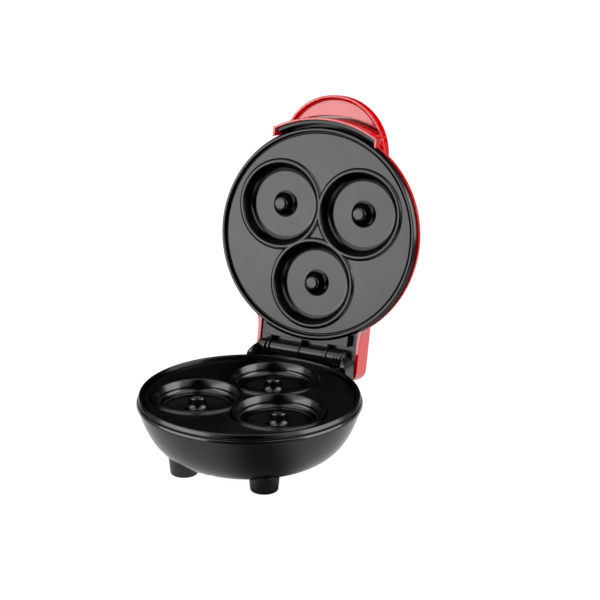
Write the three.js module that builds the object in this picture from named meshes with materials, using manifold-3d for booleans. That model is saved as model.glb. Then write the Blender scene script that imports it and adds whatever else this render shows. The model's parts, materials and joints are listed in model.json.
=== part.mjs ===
// Mini donut maker with a hinged lid, shown open. Millimetres, +Z up, front is -Y, the hinge is at the back.
// Every piece is built as it lies in the closed appliance, and the lid's group then swings open.
import * as THREE from 'three';
import { mergeVertices } from 'three/addons/utils/BufferGeometryUtils.js';
import Module from 'manifold-3d';

const wasm = await Module();
wasm.setup();

// Facets round a full circle
const FINE = 40;
const MEDIUM = 20;
const COARSE = 12;
const SCREW_SIDES = 7;

// Clearances, and the overrun that every cut has
const SEAT_GAP = 0.3;
const SLIDE_GAP = 0.4;
const PLATE_GAP = 0.5;
const OVERRUN = 1;

// Heights above the table: the plane where the closed plates meet sets all the others
const MATE_HEIGHT = 46.6;
const PLATE_CREST = MATE_HEIGHT - PLATE_GAP / 2;

// Donut cavities: the mouth's radius sets the size of the plates, and the plates set the housing and the lid
const CAVITY_COUNT = 3;
const CAVITY_MOUTH_RADIUS = 26.3;
const CAVITY_WALL_LEAN = 1.2;
const CAVITY_FILLET_RADIUS = 4.4;
const CAVITY_DEPTH = 9.2;
const RING_INNER_SLOPE = 0.7;
const RING_CREST_WIDTH = 1.7;
const RING_OUTER_SLOPE = 1.2;
const RING_MERGE_WIDTH = 1.45;
const RING_MARGIN = 2.7;
const RING_DEPTH = 0.9;
const POST_FOOT_RADIUS = 8.4;
const POST_BASE_RADIUS = 6.6;
const POST_BASE_DEPTH = 8;
const POST_WAIST_RADIUS = 5.6;
const POST_WAIST_DEPTH = 6.2;
const POST_TIP_RADIUS = 4.8;
const POST_TOP_RADIUS = 3.7;
const POST_TOP_DEPTH = 1.1;
const POST_SHOULDER = 0.9;
const POST_HOLLOW_RADIUS = 4.4;
const POST_HOLLOW_TOP = 2;
const CUP_CORNER = 3.4;
const CUP_WALL = 2.2;
const RING_CREST_INNER = CAVITY_MOUTH_RADIUS + RING_INNER_SLOPE;
const RING_CREST_OUTER = RING_CREST_INNER + RING_CREST_WIDTH;
const RING_FOOT_RADIUS = RING_CREST_OUTER + RING_OUTER_SLOPE;
const CAVITY_CIRCLE = (RING_CREST_OUTER * 2 - RING_MERGE_WIDTH) / (2 * Math.sin(Math.PI / CAVITY_COUNT));
const CUP_RADIUS = CAVITY_MOUTH_RADIUS - CAVITY_WALL_LEAN + CUP_WALL;
const CUP_END_DEPTH = CAVITY_DEPTH + CUP_WALL;

// Cooking plate, measured down from the crest of its bead and out from the flat face round the cavities
const FACE_DEPTH = 2.2;
const PLATE_THICKNESS = 3;
const GROOVE_DEPTH = 3.3;
const GROOVE_RAMP = 0.4;
const GROOVE_WIDTH = 0.6;
const BEAD_SLOPE = 0.6;
const BEAD_WIDTH = 1.6;
const FLANGE_WIDTH = 1;
const STEP_WALL = 1;
const FLANGE_DEPTH = 3.2;
const CHAMFER_DEPTH = 2.3;
const FACE_RADIUS = CAVITY_CIRCLE + RING_FOOT_RADIUS + RING_MARGIN;
const GROOVE_INNER_RADIUS = FACE_RADIUS + GROOVE_RAMP;
const GROOVE_OUTER_RADIUS = GROOVE_INNER_RADIUS + GROOVE_WIDTH;
const BEAD_INNER_RADIUS = GROOVE_OUTER_RADIUS + BEAD_SLOPE;
const BEAD_OUTER_RADIUS = BEAD_INNER_RADIUS + BEAD_WIDTH;
const FLANGE_RADIUS = BEAD_OUTER_RADIUS + FLANGE_WIDTH;
const PLATE_STEP_RADIUS = GROOVE_OUTER_RADIUS + STEP_WALL;
const PLATE_UNDERSIDE = FACE_DEPTH + PLATE_THICKNESS;

// Heating element, its clamp, the reflector pan under it and the sensors
const ELEMENT_SHIFT = 0.7;
const ELEMENT_TUBE_RADIUS = 3.2;
const ELEMENT_GAP_ANGLE = 40;
const ELEMENT_TAIL = 8;
const ELEMENT_STEPS = 20;
const ELEMENT_SIDES = 7;
const CLAMP_THICKNESS = 1.2;
const CLAMP_ARM_WIDTH = 8;
const CLAMP_ARM_OVERHANG = 5;
const CLAMP_HUB_RADIUS = 4.4;
const PAN_THICKNESS = 0.8;
const PAN_MARGIN = 8;
const PAN_FLARE = 3.6;
const PAN_RIM_RISE = 6.6;
const THERMOSTAT_RADIUS = 7;
const THERMOSTAT_HEIGHT = 5.6;
const THERMOSTAT_CAP_RADIUS = 5;
const THERMOSTAT_CAP_HEIGHT = 1.6;
const THERMOSTAT_OFFSET = 15;
const FUSE_RADIUS = 1.8;
const FUSE_LENGTH = 20;
const FUSE_OFFSET = 20;
const ELEMENT_RADIUS = CAVITY_CIRCLE + ELEMENT_SHIFT;
const CLAMP_ARM_REACH = ELEMENT_RADIUS + CLAMP_ARM_OVERHANG;
const PAN_FLOOR_RADIUS = ELEMENT_RADIUS + PAN_MARGIN;
const PAN_RIM_RADIUS = PAN_FLOOR_RADIUS + PAN_FLARE;

// Bosses under the plate, just outside the pan, and their screws
const BOSS_COUNT = 3;
const BOSS_RADIUS = 4;
const BOSS_PAN_GAP = 1.4;
const BOSS_END_DEPTH = 15;
const BOSS_WALL = 2;
const SCREW_RADIUS = 1.5;
const SCREW_HEAD_RADIUS = 3;
const SCREW_HEAD_HEIGHT = 2.2;
const SCREW_GRIP = 5.5;
const SCREW_WEB = 3;
const BOSS_CIRCLE = PAN_RIM_RADIUS + BOSS_PAN_GAP + BOSS_RADIUS;

// Terminal block, and the cord gland in the back wall
const BLOCK_LENGTH = 30;
const BLOCK_WIDTH = 13;
const BLOCK_HEIGHT = 9;
const BLOCK_WAYS = 3;
const BLOCK_OFFSET = 10;
const BLOCK_HOLE_RADIUS = 1.9;
const GLAND_HEIGHT = 19.5;
const GLAND_BORE = 3.2;
const GLAND_NECK = 4.8;
const GLAND_FLANGE_RADIUS = 6.6;
const GLAND_FLANGE = 2;
const GLAND_BOOT = 5;
const GLAND_BOOT_RADIUS = 4.4;

// Bottom cover, wide enough to pass the terminal block, its seat in the housing and its screws
const COVER_BLOCK_GAP = 3.5;
const COVER_THICKNESS = 2;
const COVER_LIP = 4;
const COVER_LIP_THICKNESS = 2.6;
const COVER_SCREWS = 3;
const COVER_SCREW_INSET = 2.4;
const VENT_COUNT = 6;
const VENT_WIDTH = 2.4;
const VENT_INNER_RADIUS = 12;
const VENT_MARGIN = 10;
const COVER_RADIUS = Math.hypot(BLOCK_LENGTH / 2, BLOCK_OFFSET + BLOCK_WIDTH) + COVER_BLOCK_GAP + COVER_LIP;
const VENT_OUTER_RADIUS = COVER_RADIUS - VENT_MARGIN;

// Base housing, a moulded bowl whose rounded rim carries the plate's flange
const RIM_SHELF_DROP = 3.5;
const RIM_BULGE_DROP = 5.4;
const RIM_CREASE_DROP = 6.3;
const RIM_LEDGE_WIDTH = 0.3;
const RIM_BULGE_WIDTH = 0.6;
const RIM_CREASE_WIDTH = 0.7;
const BOWL_FLAT_MARGIN = 5;
const FLOOR_CLEARANCE = 7.7;
const HOUSING_WALL = 2.6;
const bowlShares = { wallRadius: 0.875, wallHeight: 0.59, turnRadius: 0.62 };
const RIM_SEAT_INNER_RADIUS = PLATE_STEP_RADIUS + SLIDE_GAP;
const RIM_SHELF_RADIUS = FLANGE_RADIUS + RIM_LEDGE_WIDTH;
const RIM_RADIUS = RIM_SHELF_RADIUS + RIM_BULGE_WIDTH;
const BOWL_TOP_RADIUS = RIM_RADIUS - RIM_CREASE_WIDTH;
const BOWL_FLAT_RADIUS = COVER_RADIUS + BOWL_FLAT_MARGIN;

// Feet, placed in from the bowl's widest radius
const FOOT_FRONT_SIDE_INSET = 41.7;
const FOOT_FRONT_INSET = 34.7;
const FOOT_REAR_SIDE_INSET = 47.3;
const FOOT_REAR_INSET = 15.3;
const FOOT_BOTTOM_RADIUS = 8.5;
const FOOT_TOP_RADIUS = 10.1;
const FOOT_HEIGHT = 16.5;
const FOOT_EDGE = 1.2;
const FOOT_LIFT = 0.4;
const FOOT_PEG_RADIUS = 3;
const FOOT_PEG_RISE = 4;
const PAD_RADIUS = 6.2;
const PAD_THICKNESS = 2.4;
const FOOT_FRONT_SIDE = BOWL_TOP_RADIUS - FOOT_FRONT_SIDE_INSET;
const FOOT_FRONT = BOWL_TOP_RADIUS - FOOT_FRONT_INSET;
const FOOT_REAR_SIDE = BOWL_TOP_RADIUS - FOOT_REAR_SIDE_INSET;
const FOOT_REAR = BOWL_TOP_RADIUS - FOOT_REAR_INSET;

// Hinge: the axis, the barrels along it and the moulded bracket on the base
const PIVOT_GAP = 7.4;
const PIVOT_RISE = 1.1;
const OPEN_ANGLE = 102.5;
const PIN_RADIUS = 1.6;
const PIN_HEAD_RADIUS = 4;
const PIN_HEAD_LENGTH = 1.5;
const LID_BARREL_RADIUS = 4.3;
const BASE_BARREL_RADIUS = 4.6;
const LEFT_EAR_BARREL = 4.8;
const RIGHT_EAR_BARREL = 10;
const SIDE_RIB = 1.4;
const SIDE_RIB_GAP = 0.7;
const CENTRE_RIB = 0.9;
const CENTRE_RIB_GAP = 0.3;
const CENTRE_RIB_SHIFT = -2.5;
const LEFT_RIB_GAP = 1.55;
const RIGHT_BARREL_LENGTH = 17.2;
const RIB_RADIUS = 5.3;
const RIDGE_COUNT = 2;
const RIDGE_PITCH = 2.2;
const RIDGE_WIDTH = 0.7;
const RIDGE_DEPTH = 0.35;
const BRACKET_SIDE_CLEARANCE = 0.9;
const BRACKET_SHOULDER = 8.6;
const BRACKET_OVERLAP = 6;
const BRACKET_SETBACK = 0.8;
const BRACKET_DROP = 19.1;
const BRACKET_BACK_SLOPE = 8;
const BRACKET_TOP_CLEARANCE = 0.5;
const EAR_THICKNESS = 4.1;
const RELIEF_DEPTH = 6.2;
const STOP_HALF_WIDTH = 16;
const STOP_HEIGHT = 5;
const BRACKET_SCREW_SIDE_INSET = 11.8;
const BRACKET_SCREW_RISE = 6;
const PIVOT_BACK = RIM_RADIUS + PIVOT_GAP;
const PIVOT_HEIGHT = MATE_HEIGHT + PIVOT_RISE;
const BRACKET_FRONT = RIM_RADIUS - BRACKET_OVERLAP;
const BRACKET_BACK = PIVOT_BACK - BRACKET_SETBACK;
const BRACKET_BOTTOM = MATE_HEIGHT - BRACKET_DROP;
const BRACKET_SCREW_HEIGHT = BRACKET_BOTTOM + BRACKET_SCREW_RISE;

// Lid shell: the dome, the lip in front, the handle and the tail that hides the hinge
const SHELL_MARGIN = 0.8;
const SHELL_EDGE_RISE = 4.95;
const SHELL_WALL = 2.2;
const DOME_RISE = 31;
const domeShares = { wallRadius: 1.003, wallHeight: 0.46, turnRadius: 0.75 };
const LIP_DROP = 2.1;
const LIP_STAND = 5.2;
const LIP_FLARE = 2.3;
const LIP_ROOF_RISE = 17;
const LIP_HALF_WIDTH = 37.4;
const LIP_CHEEK_TAPER = 1.4;
const HANDLE_SETBACK = 17.9;
const HANDLE_REACH = 38.9;
const HANDLE_HALF_WIDTH = 37;
const HANDLE_EDGE_RISE = 12.6;
const HANDLE_TOP_RISE = 25;
const HANDLE_ROUND = 3.4;
const HANDLE_WALL = 1.9;
const HANDLE_RECESS_DEPTH = 4.4;
const HANDLE_WEB = 2.2;
const TAIL_HALF_WIDTH = 36.7;
const TAIL_OVERHANG = 16;
const TAIL_START = 30;
const TAIL_TOP_RISE = 20.6;
const TAIL_CORNER = 7;
const TAIL_ROUND = 8;
const TAIL_FLARE = 3;
const TAIL_FLARE_REACH = 9;
const tailFlareShares = { side: 0.35, reach: 0.42 };
const SHELL_RADIUS = FLANGE_RADIUS + SHELL_MARGIN;
const LIP_RADIUS = SHELL_RADIUS + LIP_STAND;
const LIP_TOP_RADIUS = LIP_RADIUS + LIP_FLARE;
const HANDLE_CENTRE = SHELL_RADIUS - HANDLE_SETBACK;
const TAIL_END = PIVOT_BACK + TAIL_OVERHANG;

// Widths of the hinge bracket, which stands between the tail's sides
const BRACKET_HALF_WIDTH = TAIL_HALF_WIDTH - BRACKET_SIDE_CLEARANCE;
const BRACKET_SCREW_SIDE = BRACKET_HALF_WIDTH - BRACKET_SCREW_SIDE_INSET;
const EAR_INNER = BRACKET_HALF_WIDTH - EAR_THICKNESS;

// Black carrier inside the lid, and the lining behind the lip
const CARRIER_RING_THICKNESS = 1.7;
const CARRIER_RING_TOP = 9.6;
const CARRIER_SHELF_OUTSET = 5;
const CARRIER_SHELF_INSET = 3.6;
const CARRIER_SHELF_THICKNESS = 2.2;
const CARRIER_SHELF_RADIUS = BOSS_CIRCLE + CARRIER_SHELF_OUTSET;
const CARRIER_SHELF_INNER = BOSS_CIRCLE - CARRIER_SHELF_INSET;
const LINING_WALL = 2;
const LINING_LIP_DROP = 0.2;

// Black hinge leaf on the lid
const LEAF_RISE = 6.2;
const LEAF_THICKNESS = 2.4;
const LEAF_END_GAP = 1.8;
const PANEL_SIDE_GAP = 1.9;
const PANEL_FRONT_OFFSET = 19.4;
const PANEL_BACK_OFFSET = 7.4;
const PANEL_RISE = 0.9;
const LEAF_HALF_WIDTH = TAIL_HALF_WIDTH - SHELL_WALL - SLIDE_GAP;
const LEAF_BACK = TAIL_END - SHELL_WALL - LEAF_END_GAP;
const PANEL_HALF_WIDTH = EAR_INNER - PANEL_SIDE_GAP;
const PANEL_FRONT = PIVOT_BACK - PANEL_FRONT_OFFSET;
const PANEL_BACK = PIVOT_BACK - PANEL_BACK_OFFSET;

// Indicator lamp on top of the lid
const LAMP_FRONT = 28;
const LENS_RADIUS = 3.4;
const LENS_FLANGE_RADIUS = 4.6;
const LENS_FLANGE = 1.2;
const LENS_PROUD = 0.8;
const LAMP_RADIUS = 2;
const LAMP_LENGTH = 4.2;

// Finishes
const finishes = {
  redGloss: { color: 0xc60612, roughness: 0.12, metalness: 0 },
  blackGloss: { color: 0x17171a, roughness: 0.18, metalness: 0 },
  blackSatin: { color: 0x101012, roughness: 0.35, metalness: 0 },
  nonStick: { color: 0x2b2b2d, roughness: 0.3, metalness: 0.1 },
  rubber: { color: 0x1a1a1a, roughness: 0.8, metalness: 0 },
  steel: { color: 0xa8a9ab, roughness: 0.35, metalness: 1 },
  elementSteel: { color: 0x6d6a66, roughness: 0.5, metalness: 1 },
  aluminium: { color: 0xc3c5c8, roughness: 0.4, metalness: 1 },
  ceramic: { color: 0xe6e1d4, roughness: 0.6, metalness: 0 },
  lens: { color: 0xd8761c, roughness: 0.15, metalness: 0 },
  glass: { color: 0xd8d8d0, roughness: 0.1, metalness: 0 },
};

// Closed solids from three.js geometry, with shared corners merged and empty faces dropped
function solid(geometry) {
  const bare = geometry.clone();
  for (const name of Object.keys(bare.attributes)) {
    if (name !== 'position') bare.deleteAttribute(name);
  }
  const merged = mergeVertices(bare);
  const corners = merged.index.array;
  const faces = [];
  for (let i = 0; i < corners.length; i += 3) {
    const [a, b, c] = [corners[i], corners[i + 1], corners[i + 2]];
    if (a !== b && b !== c && c !== a) faces.push(a, b, c);
  }
  return new wasm.Manifold(new wasm.Mesh({
    numProp: 3,
    vertProperties: Float32Array.from(merged.attributes.position.array),
    triVerts: Uint32Array.from(faces),
  }));
}

// A solid of revolution about Z: the outline is [radius, height], up the outside and back to the axis
function turned(outline, sides = MEDIUM, scaleX = 1) {
  const points = outline.map(([radius, height]) => new THREE.Vector2(radius, height));
  if (outline[0][0] !== 0 || outline[outline.length - 1][0] !== 0) points.push(points[0].clone());
  const geometry = new THREE.LatheGeometry(points, sides);
  geometry.rotateX(Math.PI / 2);
  geometry.scale(scaleX, 1, 1);
  return solid(geometry);
}

function disc(radius, bottom, top, sides = MEDIUM) {
  return turned([[0, bottom], [radius, bottom], [radius, top], [0, top]], sides);
}

function tubeSection(inner, outer, bottom, top, sides = MEDIUM) {
  return turned([[inner, bottom], [outer, bottom], [outer, top], [inner, top]], sides);
}

function block(x0, x1, y0, y1, z0, z1) {
  const geometry = new THREE.BoxGeometry(x1 - x0, y1 - y0, z1 - z0);
  geometry.translate((x0 + x1) / 2, (y0 + y1) / 2, (z0 + z1) / 2);
  return solid(geometry);
}

// An outline in the YZ plane, pushed along X
function acrossX(outline, x0, x1) {
  const shape = new THREE.Shape(outline.map(([y, z]) => new THREE.Vector2(y, z)));
  const geometry = new THREE.ExtrudeGeometry(shape, { depth: x1 - x0, bevelEnabled: false });
  const swap = new THREE.Matrix4().set(0, 0, 1, x0, 1, 0, 0, 0, 0, 1, 0, 0, 0, 0, 0, 1);
  geometry.applyMatrix4(swap);
  return solid(geometry);
}

// An outline in the XY plane, raised along Z
function raised(outline, z0, z1) {
  const shape = new THREE.Shape(outline.map(([x, y]) => new THREE.Vector2(x, y)));
  const geometry = new THREE.ExtrudeGeometry(shape, { depth: z1 - z0, bevelEnabled: false });
  geometry.translate(0, 0, z0);
  return solid(geometry);
}

// An outline in the XZ plane, pushed along Y
function alongY(outline, y0, y1) {
  const shape = new THREE.Shape(outline.map(([x, z]) => new THREE.Vector2(x, z)));
  const geometry = new THREE.ExtrudeGeometry(shape, { depth: y1 - y0, bevelEnabled: false });
  geometry.rotateX(Math.PI / 2);
  geometry.translate(0, y1, 0);
  return solid(geometry);
}

function rodX(radius, x0, x1, y, z, sides = COARSE) {
  return disc(radius, x0, x1, sides).rotate([0, 90, 0]).translate([0, y, z]);
}

function rodY(radius, y0, y1, x, z, sides = COARSE) {
  return disc(radius, -y1, -y0, sides).rotate([90, 0, 0]).translate([x, 0, z]);
}

function join(parts) {
  return parts.reduce((whole, piece) => whole.add(piece));
}

function arc(centreX, centreY, radiusX, radiusY, from, to, steps) {
  const points = [];
  for (let i = 0; i <= steps; i += 1) {
    const angle = THREE.MathUtils.degToRad(from + ((to - from) * i) / steps);
    points.push([centreX + radiusX * Math.cos(angle), centreY + radiusY * Math.sin(angle)]);
  }
  return points;
}

// Points along a cubic curve, moved inwards by a wall's thickness
function walled(curve, thickness, steps) {
  const points = [];
  for (let i = 0; i <= steps; i += 1) {
    const point = curve.getPoint(i / steps);
    const tangent = curve.getTangent(i / steps);
    points.push([point.x - tangent.y * thickness, point.y + tangent.x * thickness]);
  }
  return points;
}

function polar(radius, degrees) {
  const angle = THREE.MathUtils.degToRad(degrees);
  return [radius * Math.cos(angle), radius * Math.sin(angle)];
}

const appliance = new THREE.Group();
const base = new THREE.Group();
const lid = new THREE.Group();
const lidPieces = new THREE.Group();

function place(name, shape, finish, parent) {
  const mesh = shape.getMesh();
  const geometry = new THREE.BufferGeometry();
  geometry.setAttribute('position', new THREE.BufferAttribute(mesh.vertProperties, mesh.numProp));
  geometry.setIndex(new THREE.BufferAttribute(mesh.triVerts, 1));
  geometry.computeVertexNormals();
  const piece = new THREE.Mesh(geometry, new THREE.MeshStandardMaterial(finishes[finish]));
  piece.name = name;
  parent.add(piece);
  return piece;
}

// A pan-head screw with its head down at the origin and its shank pointing up
function screw(grip) {
  return turned([
    [0, -SCREW_HEAD_HEIGHT],
    [SCREW_HEAD_RADIUS * 0.8, -SCREW_HEAD_HEIGHT],
    [SCREW_HEAD_RADIUS, -SCREW_HEAD_HEIGHT / 2],
    [SCREW_HEAD_RADIUS, 0],
    [SCREW_RADIUS, 0],
    [SCREW_RADIUS, grip],
    [0, grip + SCREW_RADIUS],
  ], SCREW_SIDES);
}

// The bowl's outer wall from the crease under its rim down to its flat bottom
const bowlTop = PLATE_CREST - RIM_CREASE_DROP;
const bowlCurve = new THREE.CubicBezierCurve(
  new THREE.Vector2(BOWL_FLAT_RADIUS, FLOOR_CLEARANCE),
  new THREE.Vector2(
    BOWL_FLAT_RADIUS + (BOWL_TOP_RADIUS - BOWL_FLAT_RADIUS) * bowlShares.turnRadius,
    FLOOR_CLEARANCE,
  ),
  new THREE.Vector2(
    BOWL_FLAT_RADIUS + (BOWL_TOP_RADIUS - BOWL_FLAT_RADIUS) * bowlShares.wallRadius,
    FLOOR_CLEARANCE + (bowlTop - FLOOR_CLEARANCE) * bowlShares.wallHeight,
  ),
  new THREE.Vector2(BOWL_TOP_RADIUS, bowlTop),
);
const BOWL_STEPS = 6;
const housingFloor = FLOOR_CLEARANCE + HOUSING_WALL;

// Radius of the bowl's wall at a height, on its outer face or at a given depth behind it
function wallAt(height, depth) {
  const skin = walled(bowlCurve, depth, FINE);
  const above = Math.max(skin.findIndex(([, level]) => level >= height), 1);
  const [lowRadius, low] = skin[above - 1];
  const [highRadius, high] = skin[above];
  return lowRadius + ((highRadius - lowRadius) * (height - low)) / (high - low);
}

// Where a bracket screw's head bears on the inside of the bowl
function bracketScrewSeat() {
  const inside = wallAt(BRACKET_SCREW_HEIGHT - SCREW_HEAD_RADIUS, HOUSING_WALL);
  return Math.sqrt(inside ** 2 - (BRACKET_SCREW_SIDE + SCREW_HEAD_RADIUS) ** 2) - SEAT_GAP;
}

function bowlSolid(growth) {
  const skin = walled(bowlCurve, -growth, BOWL_STEPS);
  return turned([
    [0, skin[0][1]],
    ...skin,
    [RIM_RADIUS + growth, bowlTop],
    [RIM_RADIUS + growth, PLATE_CREST],
    [0, PLATE_CREST],
  ], FINE);
}

// Where the plate's bosses end, and the posts that the housing and the carrier offer them
const bossEnd = PLATE_CREST - BOSS_END_DEPTH;
const bossAngles = Array.from({ length: BOSS_COUNT }, (_, i) => 30 + (i * 360) / BOSS_COUNT);
const footSpots = {
  front_left: [-FOOT_FRONT_SIDE, -FOOT_FRONT],
  front_right: [FOOT_FRONT_SIDE, -FOOT_FRONT],
  rear_left: [-FOOT_REAR_SIDE, FOOT_REAR],
  rear_right: [FOOT_REAR_SIDE, FOOT_REAR],
};

function housing() {
  const rim = PLATE_CREST;
  const outer = walled(bowlCurve, 0, BOWL_STEPS);
  const inner = walled(bowlCurve, HOUSING_WALL, BOWL_STEPS).reverse();
  const shell = turned([
    [0, FLOOR_CLEARANCE],
    ...outer,
    [RIM_RADIUS, rim - RIM_BULGE_DROP],
    [RIM_RADIUS - (RIM_RADIUS - RIM_SHELF_RADIUS) / 2, rim - (RIM_SHELF_DROP + RIM_BULGE_DROP) / 2],
    [RIM_SHELF_RADIUS, rim - RIM_SHELF_DROP],
    [RIM_SEAT_INNER_RADIUS, rim - RIM_SHELF_DROP],
    [RIM_SEAT_INNER_RADIUS, rim - RIM_CREASE_DROP],
    ...inner,
    [0, housingFloor],
  ], FINE);
  const lip = tubeSection(COVER_RADIUS - COVER_LIP, COVER_RADIUS + COVER_LIP, housingFloor - SEAT_GAP,
    housingFloor + COVER_LIP_THICKNESS);
  const posts = bossAngles.map((angle) => {
    const [x, y] = polar(BOSS_CIRCLE, angle);
    const post = disc(SCREW_HEAD_RADIUS + SLIDE_GAP + BOSS_WALL, FLOOR_CLEARANCE, bossEnd - SEAT_GAP, COARSE);
    return post.translate([x, y, 0]).intersect(bowlSolid(-SEAT_GAP));
  });
  const sockets = Object.values(footSpots).map(([x, y]) => (
    disc(FOOT_PEG_RADIUS + BOSS_WALL, housingFloor, footTopHeight(x, y) + FOOT_PEG_RISE, COARSE)
      .translate([x, y, 0])
      .intersect(bowlSolid(-SEAT_GAP))
  ));
  let body = join([shell, lip, ...posts, ...sockets]);
  body = body.subtract(disc(COVER_RADIUS + SEAT_GAP, FLOOR_CLEARANCE - OVERRUN, housingFloor - SEAT_GAP));
  body = body.subtract(disc(COVER_RADIUS - COVER_LIP, FLOOR_CLEARANCE,
    housingFloor + COVER_LIP_THICKNESS + OVERRUN));
  for (const angle of bossAngles) {
    const [x, y] = polar(BOSS_CIRCLE, angle);
    const well = disc(SCREW_HEAD_RADIUS + SLIDE_GAP, 0, bossEnd - SEAT_GAP - SCREW_WEB, COARSE);
    const hole = disc(SCREW_RADIUS + SEAT_GAP, 0, bossEnd + OVERRUN, SCREW_SIDES);
    body = body.subtract(well.add(hole).translate([x, y, 0]));
  }
  for (const [x, y] of Object.values(footSpots)) {
    body = body.subtract(disc(FOOT_PEG_RADIUS + SEAT_GAP, 0, footTopHeight(x, y) + FOOT_PEG_RISE + OVERRUN,
      COARSE)
      .translate([x, y, 0]));
  }
  for (let i = 0; i < COVER_SCREWS; i += 1) {
    const [x, y] = polar(COVER_RADIUS - COVER_SCREW_INSET, 90 + (i * 360) / COVER_SCREWS);
    body = body.subtract(disc(SCREW_RADIUS + SEAT_GAP, 0, housingFloor + COVER_LIP_THICKNESS + OVERRUN,
      SCREW_SIDES)
      .translate([x, y, 0]));
  }
  for (const side of [-1, 1]) {
    body = body.subtract(rodY(SCREW_RADIUS + SEAT_GAP, 0, BRACKET_BACK, side * BRACKET_SCREW_SIDE,
      BRACKET_SCREW_HEIGHT, SCREW_SIDES));
  }
  return body.subtract(rodY(GLAND_NECK + SEAT_GAP, 0, TAIL_END, 0, GLAND_HEIGHT));
}

// Height where a foot's column leaves the bowl's outer wall, found along the wall's curve
function footTopHeight(x, y) {
  const reach = Math.hypot(x, y);
  const wall = walled(bowlCurve, 0, FINE);
  const above = wall.find(([radius]) => radius >= reach);
  return above ? above[1] : FLOOR_CLEARANCE;
}

function foot(x, y) {
  const column = turned([
    [0, FOOT_LIFT],
    [FOOT_BOTTOM_RADIUS - FOOT_EDGE, FOOT_LIFT],
    [FOOT_BOTTOM_RADIUS - FOOT_EDGE / 3, FOOT_LIFT + FOOT_EDGE / 3],
    [FOOT_BOTTOM_RADIUS, FOOT_LIFT + FOOT_EDGE],
    ...arc(0, FOOT_HEIGHT, FOOT_TOP_RADIUS, FOOT_TOP_RADIUS, 0, 90, 3),
  ], COARSE).translate([x, y, 0]);
  const peg = disc(FOOT_PEG_RADIUS, FOOT_LIFT + PAD_THICKNESS, footTopHeight(x, y) + FOOT_PEG_RISE, COARSE)
    .translate([x, y, 0]);
  const recess = disc(PAD_RADIUS + SEAT_GAP, 0, PAD_THICKNESS + SEAT_GAP, COARSE).translate([x, y, 0]);
  return column.subtract(bowlSolid(SEAT_GAP)).add(peg).subtract(recess);
}

function bottomCover() {
  const top = housingFloor - SEAT_GAP * 2;
  let cover = disc(COVER_RADIUS, top - COVER_THICKNESS, top);
  for (let i = 0; i < VENT_COUNT; i += 1) {
    const slot = block(VENT_INNER_RADIUS, VENT_OUTER_RADIUS, -VENT_WIDTH / 2, VENT_WIDTH / 2, 0,
      housingFloor);
    cover = cover.subtract(slot.rotate([0, 0, 30 + (i * 360) / VENT_COUNT]));
  }
  for (let i = 0; i < COVER_SCREWS; i += 1) {
    const [x, y] = polar(COVER_RADIUS - COVER_SCREW_INSET, 90 + (i * 360) / COVER_SCREWS);
    cover = cover.subtract(disc(SCREW_RADIUS + SEAT_GAP, 0, housingFloor, SCREW_SIDES).translate([x, y, 0]));
  }
  return cover;
}

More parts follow.
